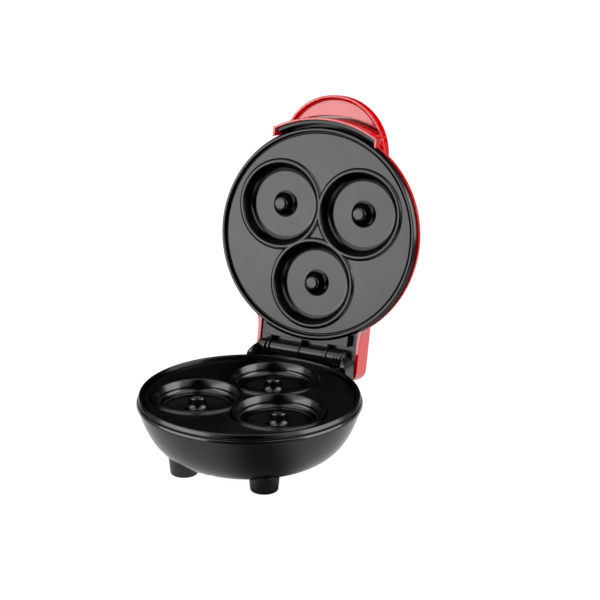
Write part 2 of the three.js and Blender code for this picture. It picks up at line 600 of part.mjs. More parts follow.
// A cooking plate with its bead's crest at height zero, facing up
function cookingPlate() {
  const body = turned([
    [0, -PLATE_UNDERSIDE],
    [PLATE_STEP_RADIUS, -PLATE_UNDERSIDE],
    [PLATE_STEP_RADIUS, -FLANGE_DEPTH],
    [FLANGE_RADIUS, -FLANGE_DEPTH],
    [FLANGE_RADIUS, -CHAMFER_DEPTH],
    [BEAD_OUTER_RADIUS, 0],
    [BEAD_INNER_RADIUS, 0],
    [GROOVE_OUTER_RADIUS, -GROOVE_DEPTH],
    [GROOVE_INNER_RADIUS, -GROOVE_DEPTH],
    [FACE_RADIUS, -FACE_DEPTH],
    [0, -FACE_DEPTH],
  ], FINE);
  const cup = turned([
    [0, -CUP_END_DEPTH],
    [CUP_RADIUS - CUP_CORNER, -CUP_END_DEPTH],
    [CUP_RADIUS, -CUP_END_DEPTH + CUP_CORNER],
    [CUP_RADIUS, -FACE_DEPTH - PLATE_THICKNESS / 2],
    [RING_FOOT_RADIUS, -FACE_DEPTH - PLATE_THICKNESS / 2],
    [RING_FOOT_RADIUS, -FACE_DEPTH],
    [RING_CREST_OUTER, -RING_DEPTH],
    [0, -RING_DEPTH],
  ], MEDIUM);
  const wall = CAVITY_MOUTH_RADIUS - CAVITY_WALL_LEAN;
  const fillet = CAVITY_FILLET_RADIUS;
  const hollow = turned([
    [0, -POST_TOP_DEPTH],
    [POST_TOP_RADIUS, -POST_TOP_DEPTH],
    [POST_TIP_RADIUS, -POST_TOP_DEPTH - POST_SHOULDER],
    [POST_WAIST_RADIUS, -POST_WAIST_DEPTH],
    [POST_BASE_RADIUS, -POST_BASE_DEPTH],
    [POST_FOOT_RADIUS, -CAVITY_DEPTH],
    ...arc(wall - fillet, fillet - CAVITY_DEPTH, fillet, fillet, -90, 0, 3),
    [CAVITY_MOUTH_RADIUS, -FACE_DEPTH],
    [RING_CREST_INNER, -RING_DEPTH],
    [RING_CREST_INNER, OVERRUN],
    [0, OVERRUN],
  ], MEDIUM);
  const under = turned([
    [0, -CUP_END_DEPTH - OVERRUN],
    [POST_HOLLOW_RADIUS, -CUP_END_DEPTH - OVERRUN],
    [POST_HOLLOW_TOP, -POST_TOP_DEPTH - CUP_WALL],
    [0, -POST_TOP_DEPTH - CUP_WALL],
  ], COARSE);
  const spots = Array.from({ length: CAVITY_COUNT },
    (_, i) => polar(CAVITY_CIRCLE, 90 + (i * 360) / CAVITY_COUNT));
  const bosses = bossAngles.map((angle) => {
    const [x, y] = polar(BOSS_CIRCLE, angle);
    return disc(BOSS_RADIUS, -BOSS_END_DEPTH, -FACE_DEPTH - PLATE_THICKNESS / 2, COARSE).translate([x, y, 0]);
  });
  const hub = disc(BOSS_RADIUS, -CUP_END_DEPTH, -FACE_DEPTH - PLATE_THICKNESS / 2, COARSE);
  let plate = join([body, hub, ...bosses, ...spots.map(([x, y]) => cup.translate([x, y, 0]))]);
  for (const [x, y] of spots) {
    plate = plate.subtract(hollow.translate([x, y, 0])).subtract(under.translate([x, y, 0]));
  }
  for (const angle of bossAngles) {
    const [x, y] = polar(BOSS_CIRCLE, angle);
    plate = plate.subtract(disc(SCREW_RADIUS + SEAT_GAP, -BOSS_END_DEPTH - OVERRUN, -PLATE_UNDERSIDE,
      SCREW_SIDES)
      .translate([x, y, 0]));
  }
  return plate.subtract(disc(SCREW_RADIUS + SEAT_GAP, -CUP_END_DEPTH - OVERRUN, -PLATE_UNDERSIDE,
    SCREW_SIDES));
}

// What hangs under a cooking plate, all measured from the bead's crest at height zero
const elementHeight = -CUP_END_DEPTH - SEAT_GAP - ELEMENT_TUBE_RADIUS;
const clampTop = elementHeight - ELEMENT_TUBE_RADIUS - SEAT_GAP;
const panTop = clampTop - CLAMP_THICKNESS - SEAT_GAP;
const panBottom = panTop - PAN_THICKNESS;

function heatingElement() {
  const half = (360 - ELEMENT_GAP_ANGLE) / 2;
  const ring = arc(0, 0, ELEMENT_RADIUS, ELEMENT_RADIUS, -90 - half, -90 + half, ELEMENT_STEPS)
    .map(([x, y]) => new THREE.Vector3(x, y, elementHeight));
  const first = ring[0];
  const last = ring[ring.length - 1];
  const start = new THREE.Vector3(first.x, first.y + ELEMENT_TAIL, elementHeight);
  const end = new THREE.Vector3(last.x, last.y + ELEMENT_TAIL, elementHeight);
  const route = new THREE.CatmullRomCurve3([start, ...ring, end]);
  const section = new THREE.Shape(
    arc(0, 0, ELEMENT_TUBE_RADIUS, ELEMENT_TUBE_RADIUS, 0, 360 - 360 / ELEMENT_SIDES, ELEMENT_SIDES - 1)
      .map(([x, y]) => new THREE.Vector2(x, y)),
  );
  return solid(new THREE.ExtrudeGeometry(section, { steps: ELEMENT_STEPS + 6, extrudePath: route }));
}

function elementClamp() {
  const arms = [];
  for (let i = 0; i < CAVITY_COUNT; i += 1) {
    arms.push(block(0, CLAMP_ARM_REACH, -CLAMP_ARM_WIDTH / 2, CLAMP_ARM_WIDTH / 2,
      clampTop - CLAMP_THICKNESS, clampTop)
      .rotate([0, 0, 90 + (i * 360) / CAVITY_COUNT]));
  }
  const hub = disc(CLAMP_HUB_RADIUS, clampTop - CLAMP_THICKNESS, -CUP_END_DEPTH - SEAT_GAP, COARSE);
  const hole = disc(SCREW_RADIUS + SEAT_GAP, clampTop - CLAMP_THICKNESS - OVERRUN, 0, SCREW_SIDES);
  return join([...arms, hub]).subtract(hole);
}

function reflectorPan() {
  const rise = panTop + PAN_RIM_RISE;
  const dish = turned([
    [0, panBottom],
    [PAN_FLOOR_RADIUS, panBottom],
    [PAN_RIM_RADIUS, rise],
    [PAN_RIM_RADIUS - PAN_THICKNESS, rise],
    [PAN_FLOOR_RADIUS - PAN_THICKNESS, panTop],
    [0, panTop],
  ], MEDIUM);
  const notchTop = rise + OVERRUN;
  const notch = block(-ELEMENT_RADIUS / 2, ELEMENT_RADIUS / 2, 0, PAN_RIM_RADIUS + OVERRUN, panTop, notchTop);
  const hole = disc(SCREW_RADIUS + SEAT_GAP, panBottom - OVERRUN, 0, SCREW_SIDES);
  return dish.subtract(notch).subtract(hole);
}

function thermostat() {
  const top = -CUP_END_DEPTH - SEAT_GAP;
  return turned([
    [0, top - THERMOSTAT_HEIGHT],
    [THERMOSTAT_RADIUS, top - THERMOSTAT_HEIGHT],
    [THERMOSTAT_RADIUS, top - THERMOSTAT_CAP_HEIGHT],
    [THERMOSTAT_CAP_RADIUS, top - THERMOSTAT_CAP_HEIGHT],
    [THERMOSTAT_CAP_RADIUS, top],
    [0, top],
  ], COARSE).translate([0, -THERMOSTAT_OFFSET, 0]);
}

function thermalFuse() {
  const drop = -CUP_END_DEPTH - SEAT_GAP - FUSE_RADIUS;
  const [x, y] = polar(FUSE_OFFSET, 30);
  const sleeve = rodX(FUSE_RADIUS, -FUSE_LENGTH / 2, FUSE_LENGTH / 2, 0, 0, SCREW_SIDES);
  return sleeve.rotate([0, 0, 120]).translate([x, y, drop]);
}

function terminalBlock() {
  const bottom = housingFloor - SEAT_GAP;
  const pitch = BLOCK_LENGTH / BLOCK_WAYS;
  let body = block(-BLOCK_LENGTH / 2, BLOCK_LENGTH / 2, BLOCK_OFFSET, BLOCK_OFFSET + BLOCK_WIDTH, bottom,
    bottom + BLOCK_HEIGHT);
  for (let i = 0; i < BLOCK_WAYS; i += 1) {
    const x = -BLOCK_LENGTH / 2 + pitch * (i + 0.5);
    const z = bottom + BLOCK_HEIGHT / 3;
    body = body.subtract(rodY(BLOCK_HOLE_RADIUS, 0, BLOCK_OFFSET + BLOCK_WIDTH + OVERRUN, x, z, SCREW_SIDES));
    body = body.subtract(disc(BLOCK_HOLE_RADIUS, z, bottom + BLOCK_HEIGHT + OVERRUN, SCREW_SIDES)
      .translate([x, BLOCK_OFFSET + BLOCK_WIDTH / 2, 0]));
  }
  return body;
}

// A rubber cord gland in the housing's back wall, with its bore open for the supply cord
function cordGland() {
  const wall = wallAt(GLAND_HEIGHT, 0);
  const reach = wall + GLAND_FLANGE_RADIUS;
  const innerEnd = wall - HOUSING_WALL - GLAND_FLANGE_RADIUS;
  const flangeOuter = rodY(GLAND_FLANGE_RADIUS, innerEnd, reach, 0,
    GLAND_HEIGHT).subtract(bowlSolid(SEAT_GAP));
  const flangeInner = rodY(GLAND_FLANGE_RADIUS, innerEnd, reach, 0, GLAND_HEIGHT)
    .intersect(bowlSolid(-HOUSING_WALL - SEAT_GAP));
  const boot = turned([
    [0, reach - GLAND_FLANGE],
    [GLAND_NECK, reach - GLAND_FLANGE],
    [GLAND_BOOT_RADIUS, reach + GLAND_BOOT],
    [0, reach + GLAND_BOOT],
  ], COARSE).rotate([-90, 0, 0]).translate([0, 0, GLAND_HEIGHT]);
  const neck = rodY(GLAND_NECK, innerEnd, reach, 0, GLAND_HEIGHT);
  const bore = rodY(GLAND_BORE, innerEnd - OVERRUN, reach + GLAND_BOOT + OVERRUN, 0, GLAND_HEIGHT);
  return join([flangeOuter, flangeInner, neck, boot]).subtract(bore);
}

// Places along the hinge's axis: the left half from its ear to the centre rib, the right half from that rib on
const centreRibLeft = CENTRE_RIB_SHIFT - CENTRE_RIB / 2;
const centreRibRight = CENTRE_RIB_SHIFT + CENTRE_RIB / 2;
const leftEarBarrelStart = -EAR_INNER;
const leftEarBarrelEnd = leftEarBarrelStart + LEFT_EAR_BARREL;
const leftRibStart = leftEarBarrelEnd + LEFT_RIB_GAP;
const leftRibEnd = leftRibStart + SIDE_RIB;
const leftBarrelStart = leftRibEnd + SIDE_RIB_GAP;
const leftBarrelEnd = centreRibLeft - CENTRE_RIB_GAP;
const rightBarrelStart = centreRibRight + CENTRE_RIB_GAP;
const rightBarrelEnd = rightBarrelStart + RIGHT_BARREL_LENGTH;
const rightRibStart = rightBarrelEnd + SLIDE_GAP;
const rightRibEnd = rightRibStart + SIDE_RIB;
const rightEarBarrelStart = rightRibEnd + SLIDE_GAP;
const rightEarBarrelEnd = rightEarBarrelStart + RIGHT_EAR_BARREL;

const bracketScrewGrip = SCREW_GRIP * 2;

// The base's half of the hinge: a bridge with two rounded ears, two barrels and a stop behind
function hingeBracket() {
  const top = MATE_HEIGHT + LEAF_RISE - BRACKET_TOP_CLEARANCE;
  const shoulderBottom = top - BRACKET_SHOULDER * 1.2;
  const x0 = BRACKET_HALF_WIDTH - BRACKET_SHOULDER;
  const shoulder = arc(x0, shoulderBottom, BRACKET_SHOULDER, top - shoulderBottom, 0, 90, 6);
  const front = [
    [-BRACKET_HALF_WIDTH, BRACKET_BOTTOM],
    [BRACKET_HALF_WIDTH, BRACKET_BOTTOM],
    ...shoulder,
    ...shoulder.map(([x, z]) => [-x, z]).reverse(),
  ];
  const side = [
    [BRACKET_FRONT - BRACKET_BACK_SLOPE, BRACKET_BOTTOM],
    [BRACKET_BACK - BRACKET_BACK_SLOPE / 2, BRACKET_BOTTOM],
    [BRACKET_BACK, BRACKET_BOTTOM + BRACKET_BACK_SLOPE],
    [BRACKET_BACK, PIVOT_HEIGHT],
    [BRACKET_BACK - (top - PIVOT_HEIGHT), top],
    [BRACKET_FRONT + (top - PIVOT_HEIGHT), top],
    [BRACKET_FRONT, PIVOT_HEIGHT],
    [BRACKET_FRONT, BRACKET_BOTTOM + BRACKET_BACK_SLOPE],
  ];
  const body = alongY(front, 0, TAIL_END).intersect(acrossX(side, -BRACKET_HALF_WIDTH, BRACKET_HALF_WIDTH));
  const relief = block(-EAR_INNER, EAR_INNER, 0, TAIL_END, PIVOT_HEIGHT - RELIEF_DEPTH, top + OVERRUN);
  const stop = block(-STOP_HALF_WIDTH, STOP_HALF_WIDTH, BRACKET_FRONT, stopReach(),
    stopHeight() - STOP_HEIGHT,
    stopHeight());
  const webs = [[leftEarBarrelStart - SLIDE_GAP, leftEarBarrelEnd], [rightEarBarrelStart, rightEarBarrelEnd]]
    .map(([x0w, x1w]) => rodX(BASE_BARREL_RADIUS, x0w, x1w, PIVOT_BACK, PIVOT_HEIGHT)
      .add(block(x0w, x1w, PIVOT_BACK - BASE_BARREL_RADIUS, BRACKET_BACK,
        PIVOT_HEIGHT - RELIEF_DEPTH - OVERRUN,
        PIVOT_HEIGHT)));
  let bracket = join([body.subtract(relief), stop, ...webs]).subtract(bowlSolid(SEAT_GAP));
  bracket = bracket.subtract(rodX(PIN_RADIUS + SEAT_GAP, leftEarBarrelStart - SIDE_RIB,
    rightEarBarrelEnd + OVERRUN,
    PIVOT_BACK, PIVOT_HEIGHT));
  const groove = tubeSection(BASE_BARREL_RADIUS - RIDGE_DEPTH, BASE_BARREL_RADIUS + OVERRUN, 0, RIDGE_WIDTH,
    COARSE)
    .rotate([0, 90, 0]);
  for (let i = 0; i < RIDGE_COUNT; i += 1) {
    const x = rightEarBarrelEnd - RIDGE_PITCH * (i + 1) - RIDGE_WIDTH / 2;
    bracket = bracket.subtract(groove.translate([x, PIVOT_BACK, PIVOT_HEIGHT])
      .subtract(block(x - OVERRUN, x + OVERRUN * 2, PIVOT_BACK, TAIL_END, 0, PIVOT_HEIGHT)));
  }
  const seat = bracketScrewSeat();
  const holeEnd = seat + bracketScrewGrip + SCREW_RADIUS + SEAT_GAP;
  for (const side of [-1, 1]) {
    bracket = bracket.subtract(rodY(SCREW_RADIUS + SEAT_GAP, seat, holeEnd, side * BRACKET_SCREW_SIDE,
      BRACKET_SCREW_HEIGHT, SCREW_SIDES));
  }
  return bracket;
}

// The leaf's underside in the open pose meets the stop at this reach and height
function leafOpenPoint(y) {
  const angle = THREE.MathUtils.degToRad(OPEN_ANGLE);
  const back = y - PIVOT_BACK;
  const up = LEAF_RISE - PIVOT_RISE;
  return [
    PIVOT_BACK + back * Math.cos(angle) + up * Math.sin(angle),
    PIVOT_HEIGHT - back * Math.sin(angle) + up * Math.cos(angle),
  ];
}

function stopReach() {
  return leafOpenPoint(LEAF_BACK)[0] - SEAT_GAP;
}

function stopHeight() {
  return leafOpenPoint(LEAF_BACK)[1] + STOP_HEIGHT;
}

// The red shell: dome, lip, handle and tail joined outside, then hollowed from below
const shellEdge = MATE_HEIGHT + SHELL_EDGE_RISE;
const domeTop = MATE_HEIGHT + DOME_RISE;
const domeCurve = new THREE.CubicBezierCurve(
  new THREE.Vector2(SHELL_RADIUS, shellEdge),
  new THREE.Vector2(
    SHELL_RADIUS * domeShares.wallRadius,
    shellEdge + (domeTop - shellEdge) * domeShares.wallHeight,
  ),
  new THREE.Vector2(SHELL_RADIUS * domeShares.turnRadius, domeTop),
  new THREE.Vector2(0, domeTop),
);
const DOME_STEPS = 7;

function domeSolid(inset, bottom) {
  const skin = walled(domeCurve, inset, DOME_STEPS);
  skin[skin.length - 1][0] = 0;
  return turned([[0, bottom], [skin[0][0], bottom], ...skin], FINE);
}

function lipSolid(inset) {
  const bottom = MATE_HEIGHT - LIP_DROP;
  const roof = MATE_HEIGHT + LIP_ROOF_RISE;
  const cone = turned([
    [0, bottom - (inset > 0 ? OVERRUN : 0)],
    [LIP_RADIUS - inset, bottom - (inset > 0 ? OVERRUN : 0)],
    [LIP_TOP_RADIUS - inset, roof + SHELL_WALL - inset],
    [0, roof + SHELL_WALL - inset],
  ], FINE);
  const half = LIP_HALF_WIDTH - inset;
  const roofHalf = half - LIP_CHEEK_TAPER;
  const cheeks = [
    [-half, bottom - OVERRUN],
    [half, bottom - OVERRUN],
    [roofHalf, roof + SHELL_WALL],
    [-roofHalf, roof + SHELL_WALL],
  ];
  return cone.intersect(alongY(cheeks, -HANDLE_CENTRE - HANDLE_REACH, -TAIL_START));
}

function handleSolid(inset, bottom, top, round) {
  const reach = HANDLE_REACH - inset;
  const half = HANDLE_HALF_WIDTH - inset;
  const crown = arc(reach - round, top - round, round, round, 0, 90, 3);
  return turned([[0, bottom], [reach, bottom], ...crown, [0, top]], FINE, half / reach)
    .translate([0, -HANDLE_CENTRE, 0]);
}

function tailSolid(inset, bottom) {
  const half = TAIL_HALF_WIDTH - inset;
  const end = TAIL_END - inset;
  const corner = TAIL_CORNER - inset;
  const top = MATE_HEIGHT + TAIL_TOP_RISE - inset;
  const right = arc(half - corner, end - corner, corner, corner, 0, 90, 5);
  const plan = [[-half, TAIL_START], [half, TAIL_START], ...right,
    ...right.map(([x, y]) => [-x, y]).reverse()];
  const round = TAIL_ROUND - inset;
  const side = [[TAIL_START, bottom], [end, bottom], ...arc(end - round, top - round, round, round, 0, 90, 5),
    [TAIL_START, top]];
  return raised(plan, bottom, top).intersect(acrossX(side, -half, half));
}

// The fillet where the dome's edge runs into the tail's right side, with a roof that falls outwards
function tailFillet() {
  const half = TAIL_HALF_WIDTH;
  const meet = Math.sqrt(SHELL_RADIUS ** 2 - half ** 2);
  const outer = half + TAIL_FLARE;
  const onDome = Math.sqrt(SHELL_RADIUS ** 2 - outer ** 2);
  const bend = half + TAIL_FLARE * tailFlareShares.side;
  const plan = [
    [half - SHELL_WALL, meet - SHELL_WALL],
    [outer, onDome],
    [bend, meet + TAIL_FLARE_REACH * tailFlareShares.reach],
    [half - SHELL_WALL, meet + TAIL_FLARE_REACH],
  ];
  const ridge = MATE_HEIGHT + TAIL_TOP_RISE - TAIL_ROUND;
  const roof = [
    [half - SHELL_WALL, shellEdge],
    [outer, shellEdge],
    [outer, ridge - TAIL_FLARE],
    [half - SHELL_WALL, ridge],
  ];
  return raised(plan, shellEdge, ridge).intersect(alongY(roof, 0, TAIL_END));
}

function lidShell() {
  const edge = MATE_HEIGHT + HANDLE_EDGE_RISE;
  const top = MATE_HEIGHT + HANDLE_TOP_RISE;
  const outside = join([
    domeSolid(0, shellEdge),
    lipSolid(0),
    handleSolid(0, edge, top, HANDLE_ROUND),
    tailSolid(0, shellEdge),
    tailFillet(),
    tailFillet().mirror([1, 0, 0]),
  ]);
  const webFace = edge + HANDLE_RECESS_DEPTH;
  const recess = handleSolid(HANDLE_WALL, edge - OVERRUN, webFace, HANDLE_WEB)
    .subtract(lipSolid(0))
    .subtract(domeSolid(0, shellEdge));
  const inside = join([
    domeSolid(SHELL_WALL, shellEdge - OVERRUN),
    lipSolid(SHELL_WALL),
    tailSolid(SHELL_WALL, shellEdge - OVERRUN),
    handleSolid(SHELL_WALL, webFace + HANDLE_WEB, top - SHELL_WALL, HANDLE_WEB),
  ]);
  const lensHole = disc(LENS_RADIUS + SEAT_GAP, shellEdge, domeTop + OVERRUN,
    COARSE).translate([0, -LAMP_FRONT, 0]);
  const plateRoom = disc(SHELL_RADIUS, 0, shellEdge, FINE).subtract(tailSolid(0, 0));
  return outside.subtract(recess).subtract(inside).subtract(plateRoom).subtract(lensHole);
}

// The carrier that holds the upper plate in the shell, with the lining behind the lip
const carrierBottom = MATE_HEIGHT + PLATE_GAP / 2 + PLATE_UNDERSIDE + SEAT_GAP;
const upperBossEnd = MATE_HEIGHT + PLATE_GAP / 2 + BOSS_END_DEPTH;

function carrier() {
  const ringTop = MATE_HEIGHT + CARRIER_RING_TOP;
  const outer = SHELL_RADIUS - SHELL_WALL - SEAT_GAP * 2;
  const shelf = upperBossEnd + SEAT_GAP;
  const body = turned([
    [outer - CARRIER_RING_THICKNESS, carrierBottom],
    [outer, carrierBottom],
    [outer, ringTop],
    [CARRIER_SHELF_RADIUS, shelf + CARRIER_SHELF_THICKNESS],
    [CARRIER_SHELF_INNER, shelf + CARRIER_SHELF_THICKNESS],
    [CARRIER_SHELF_INNER, shelf],
    [CARRIER_SHELF_RADIUS - CARRIER_SHELF_THICKNESS / 2, shelf],
    [outer - CARRIER_RING_THICKNESS, ringTop - CARRIER_SHELF_THICKNESS],
  ], FINE);
  const roof = MATE_HEIGHT + LIP_ROOF_RISE - SEAT_GAP;
  const wallTop = LIP_TOP_RADIUS - SHELL_WALL - SEAT_GAP;
  const wallBottom = LIP_RADIUS - SHELL_WALL - SEAT_GAP;
  const lining = turned([
    [wallBottom - LINING_WALL, MATE_HEIGHT + LINING_LIP_DROP],
    [wallBottom, MATE_HEIGHT + LINING_LIP_DROP],
    [wallTop - SEAT_GAP, roof - OVERRUN],
    [wallTop - SEAT_GAP, roof],
    [outer - CARRIER_RING_THICKNESS, roof],
    [outer - CARRIER_RING_THICKNESS, ringTop - CARRIER_SHELF_THICKNESS],
    [outer, ringTop - CARRIER_SHELF_THICKNESS],
    [outer, roof - LINING_WALL],
    [wallTop - LINING_WALL, roof - LINING_WALL],
  ], FINE);
  const half = LIP_HALF_WIDTH - SHELL_WALL - SEAT_GAP;
  const window = block(-half, half, -HANDLE_CENTRE - HANDLE_REACH, -TAIL_START - OVERRUN, 0, domeTop);
  const inDome = domeSolid(SHELL_WALL + SEAT_GAP, MATE_HEIGHT);
  const inLip = lipSolid(SHELL_WALL + SEAT_GAP);
  let whole = body.intersect(inDome).add(lining.intersect(window).intersect(inDome.add(inLip)));
  for (const angle of bossAngles) {
    const [x, y] = polar(BOSS_CIRCLE, angle);
    whole = whole.subtract(disc(SCREW_RADIUS + SEAT_GAP, shelf - OVERRUN, domeTop,
      SCREW_SIDES).translate([x, y, 0]));
  }
  return whole;
}

// The lid's half of the hinge: a leaf behind the plate, two barrels and the ribs that carry them
function hingeLeaf() {
  const under = MATE_HEIGHT + LEAF_RISE;
  const top = under + LEAF_THICKNESS;
  const leaf = block(-LEAF_HALF_WIDTH, LEAF_HALF_WIDTH, PANEL_FRONT, LEAF_BACK, under, top);
  const panel = block(-PANEL_HALF_WIDTH, PANEL_HALF_WIDTH, PANEL_FRONT, PANEL_BACK,
    MATE_HEIGHT + PANEL_RISE, top);
  const ribOutline = [
    [PANEL_BACK - OVERRUN, under + OVERRUN],
    [PANEL_BACK - OVERRUN, MATE_HEIGHT + PANEL_RISE + LEAF_THICKNESS],
    ...arc(PIVOT_BACK, PIVOT_HEIGHT, RIB_RADIUS, RIB_RADIUS, 200, 350, 8),
    [PIVOT_BACK + RIB_RADIUS, under + OVERRUN],
  ];
  const ribs = [[leftRibStart, leftRibEnd], [centreRibLeft, centreRibRight], [rightRibStart, rightRibEnd]]
    .map(([x0, x1]) => acrossX(ribOutline, x0, x1));
  const neck = LID_BARREL_RADIUS / 2;
  const barrels = [[leftBarrelStart, leftBarrelEnd], [rightBarrelStart, rightBarrelEnd]].map(([x0, x1]) => (
    rodX(LID_BARREL_RADIUS, x0, x1, PIVOT_BACK, PIVOT_HEIGHT)
      .add(block(x0, x1, PIVOT_BACK - neck, PIVOT_BACK + neck, PIVOT_HEIGHT, under + OVERRUN))
  ));
  const flange = disc(FLANGE_RADIUS + SEAT_GAP, 0, carrierBottom - SEAT_GAP, FINE);
  const ring = disc(SHELL_RADIUS - SHELL_WALL - SEAT_GAP, 0, MATE_HEIGHT + CARRIER_RING_TOP + OVERRUN, FINE);
  let body = join([leaf, panel, ...ribs, ...barrels]).subtract(flange).subtract(ring);
  body = body.intersect(tailSolid(SHELL_WALL + SEAT_GAP, 0));
  return body.subtract(rodX(PIN_RADIUS + SEAT_GAP, -LEAF_HALF_WIDTH, LEAF_HALF_WIDTH, PIVOT_BACK,
    PIVOT_HEIGHT));
}

function hingePin() {
  const headStart = rightEarBarrelEnd + SLIDE_GAP;
  const shank = rodX(PIN_RADIUS, leftEarBarrelStart - SIDE_RIB + SLIDE_GAP, headStart + PIN_HEAD_LENGTH / 2,
    PIVOT_BACK,
    PIVOT_HEIGHT);
  const head = turned([
    [0, 0],
    [PIN_HEAD_RADIUS, 0],
    [PIN_HEAD_RADIUS, PIN_HEAD_LENGTH / 2],
    [PIN_RADIUS, PIN_HEAD_LENGTH],
    [0, PIN_HEAD_LENGTH],
  ], COARSE).rotate([0, 90, 0]).translate([headStart, PIVOT_BACK, PIVOT_HEIGHT]);
  return shank.add(head);
}

function lampLens() {
  const top = domeTop + lensDrop();
  const button = turned([
    [0, top - SHELL_WALL - SEAT_GAP - LENS_FLANGE],
    [LENS_RADIUS, top - SHELL_WALL - SEAT_GAP - LENS_FLANGE],
    [LENS_RADIUS, top],
    [LENS_RADIUS / 2, top + LENS_PROUD],
    [0, top + LENS_PROUD],
  ], COARSE);
  const flange = disc(LENS_FLANGE_RADIUS, top - SHELL_WALL - SEAT_GAP - LENS_FLANGE * 2, top, COARSE);
  const pocket = disc(LAMP_RADIUS + SEAT_GAP, 0, top - SHELL_WALL, COARSE);
  return button.translate([0, -LAMP_FRONT, 0])
    .add(flange.translate([0, -LAMP_FRONT, 0]).intersect(domeSolid(SHELL_WALL + SEAT_GAP, shellEdge)))
    .subtract(pocket.translate([0, -LAMP_FRONT, 0]));
}

// How far the dome has fallen at the lamp, compared with its crown
function lensDrop() {
  const wall = walled(domeCurve, 0, FINE);
  const outside = wall.filter(([radius]) => radius >= LAMP_FRONT);
  return outside[outside.length - 1][1] - domeTop;
}

function lamp() {
  const top = domeTop - SHELL_WALL - SEAT_GAP + lensDrop();
  return disc(LAMP_RADIUS, top - LAMP_LENGTH, top, SCREW_SIDES).translate([0, -LAMP_FRONT, 0]);
}

// Base: housing, cover, feet, pads, hinge bracket and gland
place('base_housing', housing(), 'blackGloss', base);
place('bottom_cover', bottomCover(), 'blackSatin', base);
place('hinge_bracket', hingeBracket(), 'blackGloss', base);
place('hinge_pin', hingePin(), 'blackSatin', base);
place('cord_gland', cordGland(), 'rubber', base);
place('terminal_block', terminalBlock(), 'ceramic', base);
for (const [where, [x, y]] of Object.entries(footSpots)) {
  place(`foot_${where}`, foot(x, y), 'blackSatin', base);
  place(`foot_pad_${where}`, disc(PAD_RADIUS, 0, PAD_THICKNESS, COARSE).translate([x, y, 0]), 'rubber', base);
}
for (let i = 0; i < COVER_SCREWS; i += 1) {
  const [x, y] = polar(COVER_RADIUS - COVER_SCREW_INSET, 90 + (i * 360) / COVER_SCREWS);
  const under = housingFloor - SEAT_GAP * 3 - COVER_THICKNESS;
  place(`cover_screw_${i + 1}`, screw(SCREW_GRIP).translate([x, y, under]), 'steel', base);
}
for (const [word, side] of [['left', -1], ['right', 1]]) {
  const piece = screw(bracketScrewGrip).rotate([-90, 0, 0])
    .translate([side * BRACKET_SCREW_SIDE, bracketScrewSeat(), BRACKET_SCREW_HEIGHT]);
  place(`bracket_screw_${word}`, piece, 'steel', base);
}

// What each half holds: the plate and the parts under it, upright in the base and turned over in the lid
function fitHeater(prefix, group) {
  place(`${prefix}_plate`, cookingPlate(), 'nonStick', group);
  place(`${prefix}_element`, heatingElement(), 'elementSteel', group);
  place(`${prefix}_element_clamp`, elementClamp(), 'steel', group);
  place(`${prefix}_reflector`, reflectorPan(), 'aluminium', group);
  place(`${prefix}_thermal_fuse`, thermalFuse(), 'ceramic', group);
  place(`${prefix}_clamp_screw`, screw(-panBottom - PLATE_UNDERSIDE - SCREW_GRIP)
    .translate([0, 0, panBottom - SEAT_GAP]), 'steel', group);
  const headHeight = -BOSS_END_DEPTH - SEAT_GAP - (prefix === 'lower' ? SCREW_WEB : CARRIER_SHELF_THICKNESS) - SEAT_GAP;
  bossAngles.forEach((angle, i) => {
    const [x, y] = polar(BOSS_CIRCLE, angle);
    place(`${prefix}_plate_screw_${i + 1}`, screw(SCREW_GRIP * 1.6).translate([x, y, headHeight]), 'steel',
      group);
  });
}

const lowerHeater = new THREE.Group();
lowerHeater.position.z = PLATE_CREST;
fitHeater('lower', lowerHeater);
place('thermostat', thermostat(), 'steel', lowerHeater);
base.add(lowerHeater);

const upperHeater = new THREE.Group();
upperHeater.position.z = MATE_HEIGHT + PLATE_GAP / 2;
upperHeater.rotation.y = Math.PI;
fitHeater('upper', upperHeater);
lidPieces.add(upperHeater);

// Lid: shell, carrier, leaf and lamp
place('lid_shell', lidShell(), 'redGloss', lidPieces);
place('lid_carrier', carrier(), 'blackSatin', lidPieces);
place('hinge_leaf', hingeLeaf(), 'blackGloss', lidPieces);
place('lamp_lens', lampLens(), 'lens', lidPieces);
place('lamp', lamp(), 'glass', lidPieces);

// The lid turns about the pin's axis and is shown fully open
lidPieces.position.set(0, -PIVOT_BACK, -PIVOT_HEIGHT);
lid.position.set(0, PIVOT_BACK, PIVOT_HEIGHT);
lid.rotation.x = THREE.MathUtils.degToRad(-OPEN_ANGLE);
lid.add(lidPieces);
appliance.add(base, lid);

// The origin lies under the middle of the open appliance
appliance.updateMatrixWorld(true);
const extent = new THREE.Box3().setFromObject(appliance, true);
appliance.position.y = -(extent.min.y + extent.max.y) / 2;

export default appliance;
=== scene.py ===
import json
import math

import bmesh
import bpy
from mathutils import Matrix, Vector


